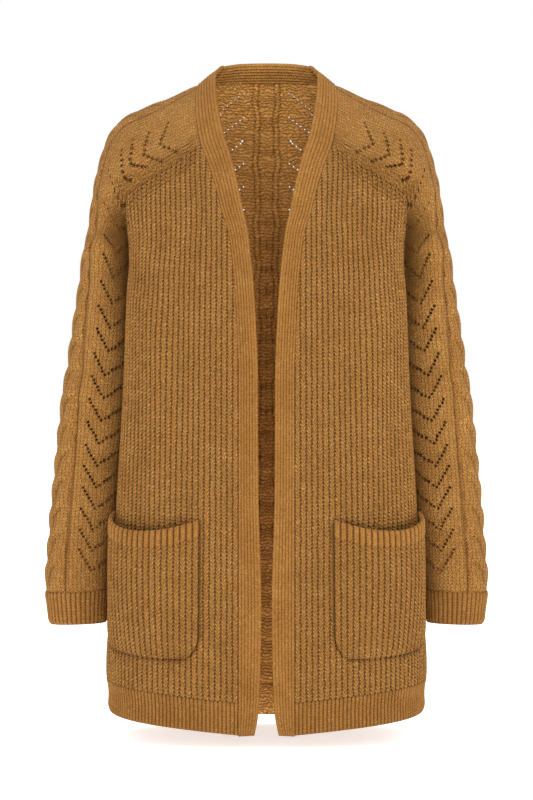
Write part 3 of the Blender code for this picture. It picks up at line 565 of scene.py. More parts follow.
def widened(grid, open_cells, size):
    """The grid with the corners of its eyelets moved, so that each is a hole of this size."""
    moved = grid.copy()
    r, c = np.nonzero(open_cells)
    corners = [grid[r, c], grid[r, c + 1], grid[r + 1, c + 1], grid[r + 1, c]]
    middle = sum(corners) / 4
    size = np.broadcast_to(size, grid.shape[:2])[r, c][:, None] / 2
    over = unit(corners[1] + corners[2] - corners[0] - corners[3]) * size
    up = unit(corners[2] + corners[3] - corners[0] - corners[1]) * size
    moved[r, c] = middle - over - up
    moved[r, c + 1] = middle + over - up
    moved[r + 1, c + 1] = middle + over + up
    moved[r + 1, c] = middle - over + up
    return moved


def eyelet_rims(open_cells, out_ids, in_ids):
    """Walls of the eyelets, from the outer sheet to the inner one."""
    rims = []
    rows, columns = open_cells.shape
    for r, c in np.argwhere(open_cells):
        ring = ((r, c), (r, c + 1), (r + 1, c + 1), (r + 1, c))
        beside = ((r - 1, c), (r, c + 1), (r + 1, c), (r, c - 1))
        for k in range(4):
            near = beside[k]
            inside = 0 <= near[0] < rows and 0 <= near[1] < columns
            if inside and open_cells[near]:
                continue
            a, b = ring[k], ring[(k + 1) % 4]
            rims.append((out_ids[a], out_ids[b], in_ids[b], in_ids[a]))
    return rims


def knit_piece(name, outer, inner, cloth, hollow, step=(1, 1), open_cells=None, ribbed=None,
               inside=None):
    """One closed sheet of cloth.

    Outer and inner are grids of points, cloth their place on the flat cloth in metres and hollow
    the painted shade at each point, mostly by how deep it lies between ribs, 0 on top and 1 at the
    bottom; inside is the same for the inner side. The inner grid keeps one row and one column in
    each step.
    """
    rows, columns = spaced(outer.shape[0], step[0]), spaced(outer.shape[1], step[1])
    inner = inner[rows][:, columns]
    points = np.concatenate([outer.reshape(-1, 3), inner.reshape(-1, 3)])
    out_ids = np.arange(outer.shape[0] * outer.shape[1]).reshape(outer.shape[:2])
    in_ids = out_ids.size + np.arange(inner.shape[0] * inner.shape[1]).reshape(inner.shape[:2])
    out_cells, in_cells = cell_corners(out_ids), cell_corners(in_ids)[..., ::-1]
    marks = np.zeros(out_cells.shape[:2], int) if ribbed is None else ribbed
    rims = []
    if open_cells is None:
        quads = [out_cells.reshape(-1, 4), in_cells.reshape(-1, 4)]
        kinds = [marks.ravel(), np.ones(in_cells[..., 0].size, int)]
    else:
        quads = [out_cells[~open_cells], in_cells[~open_cells]]
        kinds = [marks[~open_cells], np.ones(int((~open_cells).sum()), int)]
        rims = eyelet_rims(open_cells, out_ids, in_ids)
        quads.append(np.array([rim[::-1] for rim in rims]))
        kinds.append(np.zeros(len(rims), int))
    edges = [face[::-1] for face in zip_runs(out_ids[0], in_ids[0], columns)]
    edges += zip_runs(out_ids[-1], in_ids[-1], columns)
    edges += zip_runs(out_ids[:, 0], in_ids[:, 0], rows)
    edges += [face[::-1] for face in zip_runs(out_ids[:, -1], in_ids[:, -1], rows)]
    quads = np.concatenate(quads)
    edges = np.array(edges)
    kinds = np.concatenate(kinds + [np.zeros(len(edges), int)])
    a, b, c, d = (points[quads[:, k]] for k in range(4))
    volume = np.sum(a * np.cross(b, c)) + np.sum(a * np.cross(c, d))
    a, b, c = (points[edges[:, k]] for k in range(3))
    volume += np.sum(a * np.cross(b, c))
    if volume < 0:
        quads, edges = quads[:, ::-1], edges[:, ::-1]
    flat = np.concatenate([cloth.reshape(-1, 2), cloth[rows][:, columns].reshape(-1, 2)])
    if inside is None:
        inside = np.full(hollow.shape, INSIDE_SHADE)
    deep = np.concatenate([hollow.ravel(), inside[rows][:, columns].ravel()])
    return mesh_object(name, points, quads, edges, kinds, flat, deep)


def mesh_object(name, points, quads, edges, kinds, flat, deep):
    """Mesh with a material number for each face, a place on the flat cloth and painted shade."""
    mesh = bpy.data.meshes.new(name)
    mesh.vertices.add(len(points))
    mesh.vertices.foreach_set("co", points.astype(np.float32).ravel())
    corners = np.concatenate([quads.ravel(), edges.ravel()]).astype(np.int32)
    starts = np.concatenate([4 * np.arange(len(quads)),
                             4 * len(quads) + 3 * np.arange(len(edges))]).astype(np.int32)
    mesh.loops.add(len(corners))
    mesh.loops.foreach_set("vertex_index", corners)
    mesh.polygons.add(len(starts))
    mesh.polygons.foreach_set("loop_start", starts)
    mesh.polygons.foreach_set("material_index", kinds.astype(np.int32))
    mesh.update(calc_edges=True)
    layer = mesh.uv_layers.new(name="cloth")
    layer.data.foreach_set("uv", flat[corners].astype(np.float32).ravel())
    # painted shade at each point, which the wool reads
    groove = mesh.attributes.new("hollow", "FLOAT", "POINT")
    groove.data.foreach_set("value", deep.astype(np.float32))
    mesh.validate()
    mesh.shade_smooth()
    piece = bpy.data.objects.new(name, mesh)
    bpy.context.scene.collection.objects.link(piece)
    return piece


def dress(piece, node, looks, flat):
    """Hand a piece of cloth to the frame, with its materials; the size it was cut at is not used.
    """
    for material in looks:
        piece.data.materials.append(material)
    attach(piece, "root")
    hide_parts(node)


def cut_size(middle, level_rows=None):
    """Width, length and area of a grid of points as flat cloth, as wide as its widest level row."""
    width = float(run_length(middle[:level_rows])[:, -1].max())
    length = float(run_height(middle)[-1].max())
    steps = np.cross(middle[1:, 1:] - middle[:-1, :-1], middle[1:, :-1] - middle[:-1, 1:])
    area = float(np.linalg.norm(steps, axis=-1).sum() / 2)
    return width, length, min(area, width * length)


MIRROR = np.array([-1.0, 1.0, 1.0])
MIRROR_FLAT = np.array([-1.0, 1.0])
AHEAD = np.array([0.0, -1.0, 0.0])
ASIDE = np.array([1.0, 0.0, 0.0])
TURN_CELLS = 5               # cells over which the cloth's normals turn to those of a seam


def dress_pair(stem, outer, inner, cloth, hollow, looks, flat, rests_on=(), **more):
    """The piece at +X and its mirror image."""
    for side, flip in (("left", 1.0), ("right", MIRROR)):
        node = stem + "_" + side
        piece = knit_piece(node + "_knit", outer * flip, inner * flip, cloth, hollow, **more)
        dress(piece, node, looks, flat)


# ---------------------------------------------------------------- wool
class Value:
    """A shader socket whose sums are written as plain expressions."""

    def __init__(self, tree, socket):
        self.tree = tree
        self.socket = socket

    def math(self, operation, *others):
        """This value and the others through a Math node."""
        inputs = dict(enumerate((self,) + others))
        return self.tree.add("ShaderNodeMath", {"operation": operation}, inputs)

    def reflected(self, operation, other):
        """The same with a plain number first."""
        return self.tree.add("ShaderNodeMath", {"operation": operation}, {0: other, 1: self})

    def __add__(self, other):
        return self.math("ADD", other)

    def __sub__(self, other):
        return self.math("SUBTRACT", other)

    def __rsub__(self, other):
        return self.reflected("SUBTRACT", other)

    def __mul__(self, other):
        return self.math("MULTIPLY", other)

    def __truediv__(self, other):
        return self.math("DIVIDE", other)

    def __rtruediv__(self, other):
        return self.reflected("DIVIDE", other)

    def output(self, number):
        """Another output of the node that this value comes from."""
        return Value(self.tree, self.socket.node.outputs[number])

    __radd__ = __add__
    __rmul__ = __mul__


class Tree:
    """A material's nodes. Each call adds one node and gives its output."""

    def __init__(self, name):
        self.material = bpy.data.materials.new(name)
        self.material.use_nodes = True
        self.nodes = self.material.node_tree.nodes
        self.links = self.material.node_tree.links
        self.shader = self.nodes["Principled BSDF"]

    def add(self, kind, settings=None, inputs=None, output=0):
        """A node of any kind: its settings first, then the values and links of its sockets."""
        node = self.nodes.new(kind)
        for name, setting in (settings or {}).items():
            if name == "stops":
                ramp_stops(node.color_ramp, setting)
            else:
                setattr(node, name, setting)
        for name, value in (inputs or {}).items():
            self.feed(node.inputs[name], value)
        return Value(self, node.outputs[output])

    def feed(self, socket, value):
        """Link a value to a socket, or set a constant on it."""
        if isinstance(value, Value):
            self.links.new(value.socket, socket)
        else:
            socket.default_value = value

    def range(self, value, low, high, start=0.0, end=1.0):
        """From start where the value is low to end where it is high, smooth at both ends."""
        return self.add("ShaderNodeMapRange", {"interpolation_type": "SMOOTHSTEP"},
                        {0: value, 1: low, 2: high, 3: start, 4: end})

    def mix(self, share, first, second, blend="MIX"):
        """Two colours mixed, and kept between 0 and 1."""
        ways = {"data_type": "RGBA", "blend_type": blend, "clamp_result": True}
        return self.add("ShaderNodeMix", ways, {0: share, 6: first, 7: second}, output=2)

    def noise(self, vector, scale, detail=2.0, rough=0.5, distort=0.0):
        """Soft noise, 0 to 1."""
        return self.add("ShaderNodeTexNoise", {"noise_dimensions": "3D"},
                        {"Vector": vector, "Scale": scale, "Detail": detail,
                         "Roughness": rough, "Distortion": distort})


def ramp_stops(ramp, stops):
    """Give a colour ramp its stops, the first two in its own and the rest in new ones."""
    for element, (place, colour) in zip(list(ramp.elements), stops):
        element.position = place
        element.color = colour
    for place, colour in stops[2:]:
        ramp.elements.new(place).color = colour


def knit_stitches(tree, across, along, wale, course):
    """Height of rows of V stitches, 0 to 1, and how close each point is to a stitch's foot."""
    place = (across / wale).math("FRACT")
    leg = ((place - 0.5) * 2.0).math("ABSOLUTE")
    row = along / course - leg * 0.78
    strand = (row * (2 * math.pi)).math("COSINE") * 0.5 + 0.5
    middle = tree.range(leg, 0.0, 0.28, 0.25, 1.0)
    edge = tree.range(leg, 0.70, 1.0, 1.0, 0.0)
    height = strand * middle * edge
    foot = tree.range(leg, 0.50, 0.90) * tree.range(strand, 0.8, 0.1)
    return height, foot


def purl_stitches(tree, across, along, wale, course):
    """Height of rows of purl bumps, 0 to 1, and how close each point is to a gap."""
    odd = ((along / course).math("FLOOR") * 0.5).math("FRACT")
    wave = ((across / wale + odd) * (2 * math.pi)).math("COSINE") * 0.5 + 0.5
    row = along / course - wave * 0.25
    arch = (row * (2 * math.pi)).math("COSINE") * 0.5 + 0.5
    height = arch.math("POWER", 0.7) * (wave * 0.5 + 0.5)
    return height, tree.range(height, 0.35, 0.0)


class Knit(NamedTuple):
    """How a stitch looks: its kind, size, height and shading."""
    kind: str
    wale: float          # width of a stitch
    course: float        # height of a stitch
    deep: float          # how far a stitch stands out
    sway: float          # how far the stitches wander
    foot: float          # how much painted shade darkens the gaps beside the stitches
    groove: float        # how much painted shade darkens the grooves between ribs
    gap: float           # how much painted shade darkens the gaps between rows
    shade: float         # how light the yarn is drawn, with painted light in it on some stitches


# Shade holds painted light: the inner sides, reverse and collar, are drawn far lighter, standing
# in for light that reaches inside the garment, and pocket is darker than brioche as it faces the
# lamps.
KNITS = {
    "brioche": Knit("knit", 0.0072, 0.0043, 0.0025, 0.0021, 0.50, 0.16, 0.46, 1.15),
    "pocket": Knit("knit", 0.0072, 0.0046, 0.0024, 0.0017, 0.50, 0.16, 0.44, 1.04),
    "welt": Knit("knit", 0.0072, 0.0034, 0.0005, 0.0005, 0.10, 0.42, 0.20, 0.80),
    "stocking": Knit("knit", 0.0048, 0.0038, 0.0021, 0.0024, 0.34, 0.50, 0.40, 1.31),
    "fine_rib": Knit("knit", 0.0040, 0.0034, 0.0006, 0.0006, 0.12, 0.34, 0.20, 0.835),
    "edge_rib": Knit("knit", 0.0040, 0.0034, 0.0008, 0.0007, 0.14, 0.52, 0.26, 0.83),
    "collar": Knit("knit", 0.0040, 0.0034, 0.0008, 0.0010, 0.14, 0.62, 0.24, 1.34),
    "reverse": Knit("purl", 0.0058, 0.0040, 0.0014, 0.0050, 0.24, 0.36, 0.16, 2.00),
}


def wandering(tree, body, sway):
    """Place on the flat cloth, moved about a little, so that the stitches aren't all even."""
    drift = tree.add("ShaderNodeTexNoise", {"noise_dimensions": "3D"},
                     {"Vector": body, "Scale": 110.0, "Detail": 2.0}, output=1)
    drift = tree.add("ShaderNodeVectorMath", {"operation": "SUBTRACT"},
                     {0: drift, 1: (0.5, 0.5, 0.5)})
    drift = tree.add("ShaderNodeVectorMath", {"operation": "SCALE"},
                     {0: drift, "Scale": 2.0 * sway})
    flat = tree.add("ShaderNodeUVMap", {"uv_map": "cloth"})
    return tree.add("ShaderNodeVectorMath", {"operation": "ADD"}, {0: flat, 1: drift})


def painted_shade_tint(tree, knit, groove, height, foot):
    """Colour that paints shade into the grooves and the gaps beside the stitches, and warms it."""
    shadow = groove.math("POWER", 1.3) * knit.groove + foot * knit.foot
    depth = tree.range(height, 0.0, 0.75, knit.gap, 0.0)
    dimmed = (1 - shadow.math("MINIMUM", 0.85)) * (1 - depth) * knit.shade
    warm = {0: dimmed, 1: dimmed.math("POWER", 1.12), 2: dimmed.math("POWER", 1.35)}
    return tree.add("ShaderNodeCombineColor", None, warm)


def wool(name, knit, settings):
    """Melange wool, knitted as the given stitch."""
    tree = Tree(name)
    body = tree.add("ShaderNodeTexCoord", output=3)
    placed = wandering(tree, body, knit.sway)
    across = tree.add("ShaderNodeSeparateXYZ", None, {0: placed})
    along = across.output(1)
    stitches = knit_stitches if knit.kind == "knit" else purl_stitches
    height, foot = stitches(tree, across, along, knit.wale, knit.course)
    fibre = tree.noise(placed, 900.0, 3.0, 0.65, 0.8)
    strands = tree.noise(body, 330.0, 3.0, 0.65, 1.0)
    cloud = tree.noise(body, 30.0, 3.0, 0.55)
    # painted shade kept on each point of the mesh, mostly in the grooves between ribs
    groove = tree.add("ShaderNodeAttribute", {"attribute_name": "hollow"}, output=2)
    light = settings.wool_light[:] + (1.0,)
    main = settings.wool_main[:] + (1.0,)
    dark = settings.wool_dark[:] + (1.0,)
    melange = fibre * 0.45 + strands * 0.40 + cloud * 0.15
    yarn = tree.add("ShaderNodeValToRGB", {"stops": (
        (0.33, dark), (0.68, light), (0.50, main))}, {0: melange})
    colour = tree.mix(1.0, yarn, painted_shade_tint(tree, knit, groove, height, foot), "MULTIPLY")
    loose = (fibre - 0.5) * settings.fuzz + (strands - 0.5) * settings.fuzz
    relief = height * knit.deep + loose - foot * (0.5 * knit.deep)
    bump = tree.add("ShaderNodeBump", None, {"Strength": 1.0, "Distance": 1.0, "Height": relief})
    tree.feed(tree.shader.inputs["Base Color"], colour)
    tree.feed(tree.shader.inputs["Normal"], bump)
    tree.shader.inputs["Roughness"].default_value = 0.92
    tree.shader.inputs["Specular IOR Level"].default_value = 0.18
    tree.shader.inputs["Sheen Weight"].default_value = settings.sheen
    tree.shader.inputs["Sheen Roughness"].default_value = 0.45
    tree.shader.inputs["Sheen Tint"].default_value = light
    return tree.material


def look(name):
    """The named wool, made the first time that it is asked for."""
    settings = bpy.context.scene.cardigan_wool
    found = bpy.data.materials.get("wool_" + name)
    return found or wool("wool_" + name, KNITS[name], settings)


# ---------------------------------------------------------------- fronts
def hem_line(share, face):
    """Height of the hem's lower edge."""
    if face < 0:
        return HEM_FRONT_LOW + HEM_FRONT_RISE * share
    return HEM_BACK_LOW + HEM_BACK_RISE * share ** 2


def panel(shares, tops, levels, face):
    """Grid of a body panel: each column hangs from its top point down to the hem seam."""
    low = hem_line(shares, face) + HEM_DEEP
    heights = low[None, :] + levels[:, None] * (tops[None, :, 2] - low[None, :])
    grid = body_form(np.broadcast_to(shares, heights.shape), heights, face)
    pull = tops - body_form(shares, tops[:, 2], face)
    depth = EASE * (1 - EASE_LESS * shares[None, :])
    near = np.clip(1 - (tops[None, :, 2] - heights) / depth, 0.0, 1.0)[..., None]
    return grid + pull[None] * near ** 2 * (3 - 2 * near)


def front_tops(shares):
    """Top points of the front's columns with the normals of their seam."""
    place = shares * (EDGE_RIBS + ARM_RIBS)
    edge_share = np.clip(place / EDGE_RIBS, 0.0, 1.0)
    edge, edge_normals = neck_edge(edge_share), band_normals(1 + edge_share)
    arm_share = np.clip((place - EDGE_RIBS) / ARM_RIBS, 0.0, 1.0)
    arm, arm_normals = raglan(raglan_numbers(arm_share, -1), -1)
    on_edge = (place <= EDGE_RIBS)[:, None]
    return np.where(on_edge, edge, arm), np.where(on_edge, edge_normals, arm_normals), place


def closer_at_top(count, fine, depth):
    """Levels from 0 to 1, with the last ones close together over a share of the height."""
    low = np.linspace(0.0, 1.0 - depth, count - fine)
    return np.concatenate([low, np.linspace(1.0 - depth, 1.0, fine + 1)[1:]])


FRONT_CREASES = (
    # x, z, half width, half length, lean, depth
    (0.095, -0.330, 0.016, 0.110, 0.06, -0.0035),
    (0.128, -0.300, 0.014, 0.090, 0.10, 0.0030),
    (0.150, -0.420, 0.013, 0.120, 0.04, -0.0030),
    (0.070, -0.560, 0.018, 0.140, -0.03, 0.0030),
    (0.060, -0.440, 0.014, 0.100, 0.02, -0.0022),
    (0.120, -0.205, 0.030, 0.022, 0.50, -0.0030),
    (0.145, -0.240, 0.020, 0.040, 0.60, -0.0028),
)


def pocket_edges(over):
    """Shares of the front where a pocket's two sides lie, by height over its lower edge."""
    turn = np.clip(1 - over / POCKET_CORNER, 0.0, 0.99)
    shrink = POCKET_CORNER_SHARE * (1 - np.sqrt(1 - turn ** 2))
    return POCKET_IN + shrink, POCKET_OUT - shrink


def beside_pocket(share, height):
    """1 along a pocket's seam, where it presses the front in and casts painted shadow; else 0."""
    start, end = pocket_edges(height - POCKET_LOW)
    across = (share - POCKET_IN) / (POCKET_OUT - POCKET_IN)
    low = POCKET_LOW + POCKET_LOW_RISE * across ** 2
    beyond = np.maximum(start - share, share - end) * FRONT_ACROSS
    away = np.hypot(np.maximum(beyond, 0.0), np.maximum(low - height, 0.0))
    outside = (beyond > 0) | (height < low)
    below_mouth = ease(height, POCKET_TOP_IN + 0.004, POCKET_TOP_IN - 0.004)
    return ridge_at(away, 0.0, 0.0034) * outside * below_mouth


def pocket_mouth(across):
    """Heights of a pocket's open edge, across it from 0 to 1."""
    corners = POCKET_TOP_IN + (POCKET_TOP_OUT - POCKET_TOP_IN) * across
    return corners - POCKET_SAG * 4 * across * (1 - across) * (0.75 + 0.25 * across)


def under_mouth(share, height):
    """1 on the front just over a pocket's mouth, where the pocket shades it."""
    across = np.clip((share - POCKET_IN) / (POCKET_OUT - POCKET_IN), 0.0, 1.0)
    over = height - pocket_mouth(across)
    arch = 4 * across * (1 - across)
    return ridge_at(over, 0.0, 0.0055) * np.clip(2 * arch, 0.0, 1.0)


def front_grid(shares, tops, normals, levels):
    """Grid of a front with soft creases, and its normals, which meet those of its neighbours."""
    grid = panel(shares, tops, levels, -1)
    facing = panel_normals(grid, -1)
    fold = creases(grid[..., 0], grid[..., 2], FRONT_CREASES) * ease(levels, 1.0, 0.96)[:, None]
    grid = grid + facing * (fold * ease(shares, 1.0, 0.9) * ease(shares, 0.0, 0.08))[..., None]
    facing = panel_normals(grid, -1)
    facing = blended(facing, AHEAD, 1, 0, TURN_CELLS)
    facing = blended(facing, ASIDE, 1, -1, TURN_CELLS)
    return grid, blended(facing, normals, 0, -1, TURN_CELLS)


def front_seam_ribs(tops, place, from_top):
    """Where the ribs beside the raglan seam lie, 0 to 1, and their relief."""
    slope = np.gradient(tops, axis=0)
    steep = np.abs(slope[:, 0]) / np.maximum(np.linalg.norm(slope[:, (0, 2)], axis=1), 1e-9)
    from_seam = from_top * steep[None, :]
    on_arm = ease(place, EDGE_RIBS - 0.5, EDGE_RIBS + 1.5)[None, :]
    strip = on_arm * (1 - ease(from_seam, *FRONT_STRIP))
    wave = waver(place, 2.3, 5.1)[None, :]
    return strip, rib_relief((from_seam + wave) / SEAM_PITCH + 0.5, 1.0)


def make_fronts(sizes):
    """Both fronts in wide rib, with ribs beside the raglan seam."""
    ribs = EDGE_RIBS + ARM_RIBS
    shares = np.linspace(0.0, 1.0, ribs * sizes.rib_columns + 1)
    tops, normals, place = front_tops(shares)
    levels = closer_at_top(sizes.front_rows, *FRONT_FINE)
    grid, facing = front_grid(shares, tops, normals, levels)
    along = run_height(grid)
    from_top = along[-1:] - along
    strip, turned = front_seam_ribs(tops, place, from_top)
    ribbed = rib_relief(np.tile(place, (len(levels), 1)), 1.0)
    relief = sizes.front_rib * (ribbed * (1 - strip) + SEAM_RIB_FRONT * turned * strip)
    # painted shade in the grooves between ribs, and more between the ribs beside the seam
    hollow = 1 - ribbed + SEAM_DARK * strip * (1 - turned)
    pressed_and_shadowed = beside_pocket(shares[None, :], grid[..., 2])
    # painted shadow along the pocket's seam, and painted shade over its mouth
    hollow += POCKET_SHADOW_DARK * pressed_and_shadowed + MOUTH_DARK * under_mouth(shares[None, :], grid[..., 2])
    relief *= 1 - 0.9 * pressed_and_shadowed
    relief *= faded(ease(from_top, 0.0, 0.003) * ease(along, 0.0, 0.003), 0.8)
    relief *= faded(ease(place, 0.0, 0.3)[None, :], 0.4)
    outer = grid + facing * (CLOTH_OUT + relief)[..., None]
    inner = grid - facing * CLOTH_IN
    cloth = np.stack([np.tile(place * sizes.rib_pitch, (len(levels), 1)), along], axis=-1)
    looks = [look("brioche"), look("reverse")]
    dress_pair("front", outer, inner, cloth, hollow, looks, cut_size(grid, 1), step=(3, 3))


# ---------------------------------------------------------------- back
def back_share_at_neck():
    """Share of the way round the back where its neckline meets the raglan seam."""
    shares = np.linspace(0.0, 1.0, 201)
    ring = body_form(shares, np.full(201, BACK_NECK[-1, 2]), 1)
    return float(np.interp(BACK_NECK[-1, 0], ring[:150, 0], shares[:150]))


def back_tops(shares):
    """Top points of the back's columns from the middle to the side, with the seam's normals."""
    at_neck = back_share_at_neck()
    neck_share = np.clip(shares / at_neck, 0.0, 1.0)
    neck, neck_normals = back_neck(neck_share), band_normals(5 - neck_share)
    arm_share = np.clip((shares - at_neck) / (1 - at_neck), 0.0, 1.0)
    arm, arm_normals = raglan(raglan_numbers(arm_share, 1), 1)
    on_neck = (shares <= at_neck)[:, None]
    return np.where(on_neck, neck, arm), np.where(on_neck, neck_normals, arm_normals)


def both_halves(half, flip=1.0):
    """Rows that run from the middle outward, with their mirror image before them."""
    return np.concatenate([half[:, :0:-1] * flip, half], axis=1)


def lace_holes(point, low_arm, high_arm, spacing):
    """Places of the eyelets of one V: its point and the two arms that rise from it."""
    holes = [point]
    for wide, tall in (low_arm, high_arm):
        steps = max(2, round(math.hypot(wide, tall) / spacing))
        for k in range(1, steps + 1):
            holes.append((point[0] + wide * k / steps, point[1] + tall * k / steps))
    return holes


def open_eyelets(across, along, holes, reach):
    """Cells that hold an eyelet."""
    middle_across = (across[:-1, :-1] + across[1:, 1:]) / 2
    middle_along = (along[:-1, :-1] + along[1:, 1:]) / 2
    cells = np.zeros(middle_across.shape, bool)
    for a, b in holes:
        away = (middle_across - a) ** 2 + (middle_along - b) ** 2
        found = np.unravel_index(np.argmin(away), away.shape)
        if away[found] < reach ** 2:
            cells[found] = True
    cells[:2], cells[-2:], cells[:, :2], cells[:, -2:] = False, False, False, False
    return cells


def beside_holes(cells):
    """1 at the corners of the open cells, 0 elsewhere."""
    marks = np.zeros((cells.shape[0] + 1, cells.shape[1] + 1))
    for part in (marks[:-1, :-1], marks[:-1, 1:], marks[1:, 1:], marks[1:, :-1]):
        part[cells] = 1.0
    return marks


def back_cables(across, along, height):
    """Relief and painted shade of the cables, and their inner ridges and painted furrows."""
    relief, lines, ridge, beside = (np.zeros(across.shape) for _ in range(4))
    sway = 0.0012 * np.sin(along * 75.0) + 0.0008 * np.sin(along * 171.0 + 1.0)
    for middle in BACK_CABLES:
        away = np.abs(across - middle)
        rope, marks = rope_relief(across - middle, along, BACK_CABLE_HALF, BACK_PITCH, height)
        near = away < 1.5 * BACK_CABLE_HALF
        relief = np.where(near, rope, relief)
        lines = np.where(near, marks, lines)
        from_ridge = np.abs(away + sway - 1.15 * BACK_CABLE_HALF)
        ridge = np.maximum(ridge, ridge_at(from_ridge, 0.0, 0.0016))
        beside = np.maximum(beside, ridge_at(from_ridge, 0.0034, 0.0012))
    return relief, lines, ridge, beside


def back_eyelets(across, along):
    """Cells that hold an eyelet of the lace beside the cables."""
    holes = []
    wide, tall = BACK_LACE_ARM
    for middle in BACK_LACE:
        for k in range(int(along[-1, 0] / BACK_PITCH)):
            point = (middle, BACK_LACE_START + BACK_PITCH * k)
            holes += lace_holes(point, (-wide, tall), (wide, tall), BACK_LACE_SPACING)
    return open_eyelets(across, along, holes, 0.003)


def back_grid(half, rows):
    """Grid of the back's left half, and its normals, which meet those of its neighbours."""
    tops, normals = back_tops(half)
    grid = panel(half, tops, np.linspace(0.0, 1.0, rows), 1)
    facing = panel_normals(grid, 1)
    facing[:, 0, 0] = 0.0
    facing = blended(unit(facing), ASIDE, 1, -1, TURN_CELLS - 1)
    return grid, blended(facing, normals, 0, -1, TURN_CELLS - 1)


def make_back(sizes):
    """The back, with rope cables, and lace between them."""
    half = 1.0 - closer_at_top(sizes.back_columns // 2 + 1, *BACK_FINE)[::-1]
    grid, facing = back_grid(half, sizes.back_rows)
    across = run_length(grid)
    along = run_height(grid)
    fade = ease(along[-1:] - along, 0.0, 0.006)
    low = hem_line(half, 1)
    along = along + (low - low[0])[None, :]
    relief, lines, ridge, beside = back_cables(across, along, sizes.back_cable)
    relief *= fade
    lumps = np.sin(along * (2 * math.pi / BACK_PITCH)) * ease(across, 0.024, 0.008)
    bars = ridge_at(lumps, -1.0, 0.25) * ease(across, 0.017, 0.012)
    rise = BACK_RIDGE * ridge * fade + BACK_LUMP * lumps
    outer = grid + facing * (CLOTH_OUT + relief)[..., None]
    inner = grid - facing * (CLOTH_IN + rise - 0.3 * relief)[..., None]
    cells = back_eyelets(across, along)
    outer = both_halves(widened(outer, cells, BACK_EYELET), MIRROR)
    inner = both_halves(widened(inner, cells, BACK_EYELET), MIRROR)
    cells = np.concatenate([cells[:, ::-1], cells], axis=1)
    cloth = both_halves(np.stack([across, along], axis=-1), MIRROR_FLAT)
    # painted shade in the cables' grooves and crossings, and round the eyelets
    hollow = np.maximum(both_halves(lines), BACK_EYELET_DARK * beside_holes(cells))
    # painted shade on the inner side: less on the ridges, more in the furrows and between crossings
    inside = BACK_INSIDE_DARK - BACK_INSIDE_DARK * ridge
    inside = both_halves(inside + FURROW_DARK * beside + CROSSING_DARK * bars)
    piece = knit_piece("back_knit", outer, inner, cloth, hollow, open_cells=cells, inside=inside)
    looks = [look("stocking"), look("reverse")]
    dress(piece, "back", looks, cut_size(both_halves(grid, MIRROR), 1))


# ---------------------------------------------------------------- sleeves
def lace_rows():
    """The lace table with the rows down the arm, which come closer together to the cuff."""
    rows = [LACE]
    row = LACE[-1].copy()
    for k in range(LACE_COUNT):
        row = row.copy()
        row[0] += LACE_PITCHES[0] + (LACE_PITCHES[1] - LACE_PITCHES[0]) * k / (LACE_COUNT - 1)
        row[1] += LACE_DRIFT
        rows.append(row[None])
    return np.concatenate(rows)


SLEEVE_CREASES = (
    # place, offset from the crest, half length, half width, lean, depth
    (0.235, -0.070, 0.012, 0.050, 0.30, -0.0040),
    (0.262, -0.085, 0.010, 0.045, 0.25, 0.0032),
    (0.300, -0.095, 0.013, 0.045, 0.20, -0.0030),
    (0.415, -0.070, 0.012, 0.050, -0.15, -0.0022),
    (0.445, -0.060, 0.012, 0.050, -0.12, 0.0020),
    (0.520, -0.080, 0.014, 0.045, -0.10, -0.0022),
    (0.610, -0.060, 0.012, 0.050, 0.10, -0.0020),
    (0.250, 0.070, 0.012, 0.050, -0.25, -0.0035),
    (0.285, 0.080, 0.013, 0.045, -0.20, 0.0030),
    (0.430, 0.060, 0.014, 0.050, 0.12, -0.0025),
    (0.560, 0.065, 0.014, 0.050, 0.10, -0.0022),
)


def sleeve_columns(start, end, cable):
    """Offsets of the columns from the crest, close together by the seams and on the cable."""
    low, high = cable - 1.3 * CABLE_HALF, cable + 1.3 * CABLE_HALF
    front_seam = start + np.minimum(STRIP_WIDE, 0.45 * (low - start))
    back_seam = end - np.minimum(STRIP_WIDE, 0.45 * (end - high))
    before, over, behind = SLEEVE_COLUMNS
    runs = ((start, front_seam, STRIP_COLUMNS), (front_seam, low, before), (low, high, over),
            (high, back_seam, behind), (back_seam, end, STRIP_COLUMNS))
    parts = [np.linspace(first, last, count + 1, axis=1)[:, 1:] for first, last, count in runs]
    return np.concatenate([start[:, None]] + parts, axis=1)


def creased_sleeve(place, near_front, near_back, offset):
    """Grid of the sleeve with soft creases, and its normals, which meet those of its neighbours."""
    grid = sleeve_point(place, offset)
    folds = creases(place[:, None], offset, SLEEVE_CREASES)
    folds *= ease(near_front, 0.0, 0.02) * ease(near_back, 0.0, 0.02)
    folds *= ease(place, 0.0, 0.03)[:, None] * ease(place, SLEEVE_END, SLEEVE_END - 0.02)[:, None]
    grid = grid + tube_normals(grid) * folds[..., None]
    facing = tube_normals(grid)
    numbers = np.interp(place, RING_PLACE[:len(CAP)], np.arange(len(CAP)))
    cap = place <= UNDERARM
    settle = ease(place, UNDERARM, UNDERARM + 0.02)[:, None]
    inward = np.array([-1.0, 0.0, 0.0])
    for column, face in ((0, -1), (-1, 1)):
        points, normals = raglan(numbers, face)
        grid[cap, column] = points[cap]
        edge = unit(inward * settle + normals * (1 - settle))
        facing = blended(facing, edge, 1, column, TURN_CELLS)
    places = np.linspace(2.0, 4.0, grid.shape[1])
    return grid, blended(facing, band_normals(places), 0, 0, TURN_CELLS - 1)


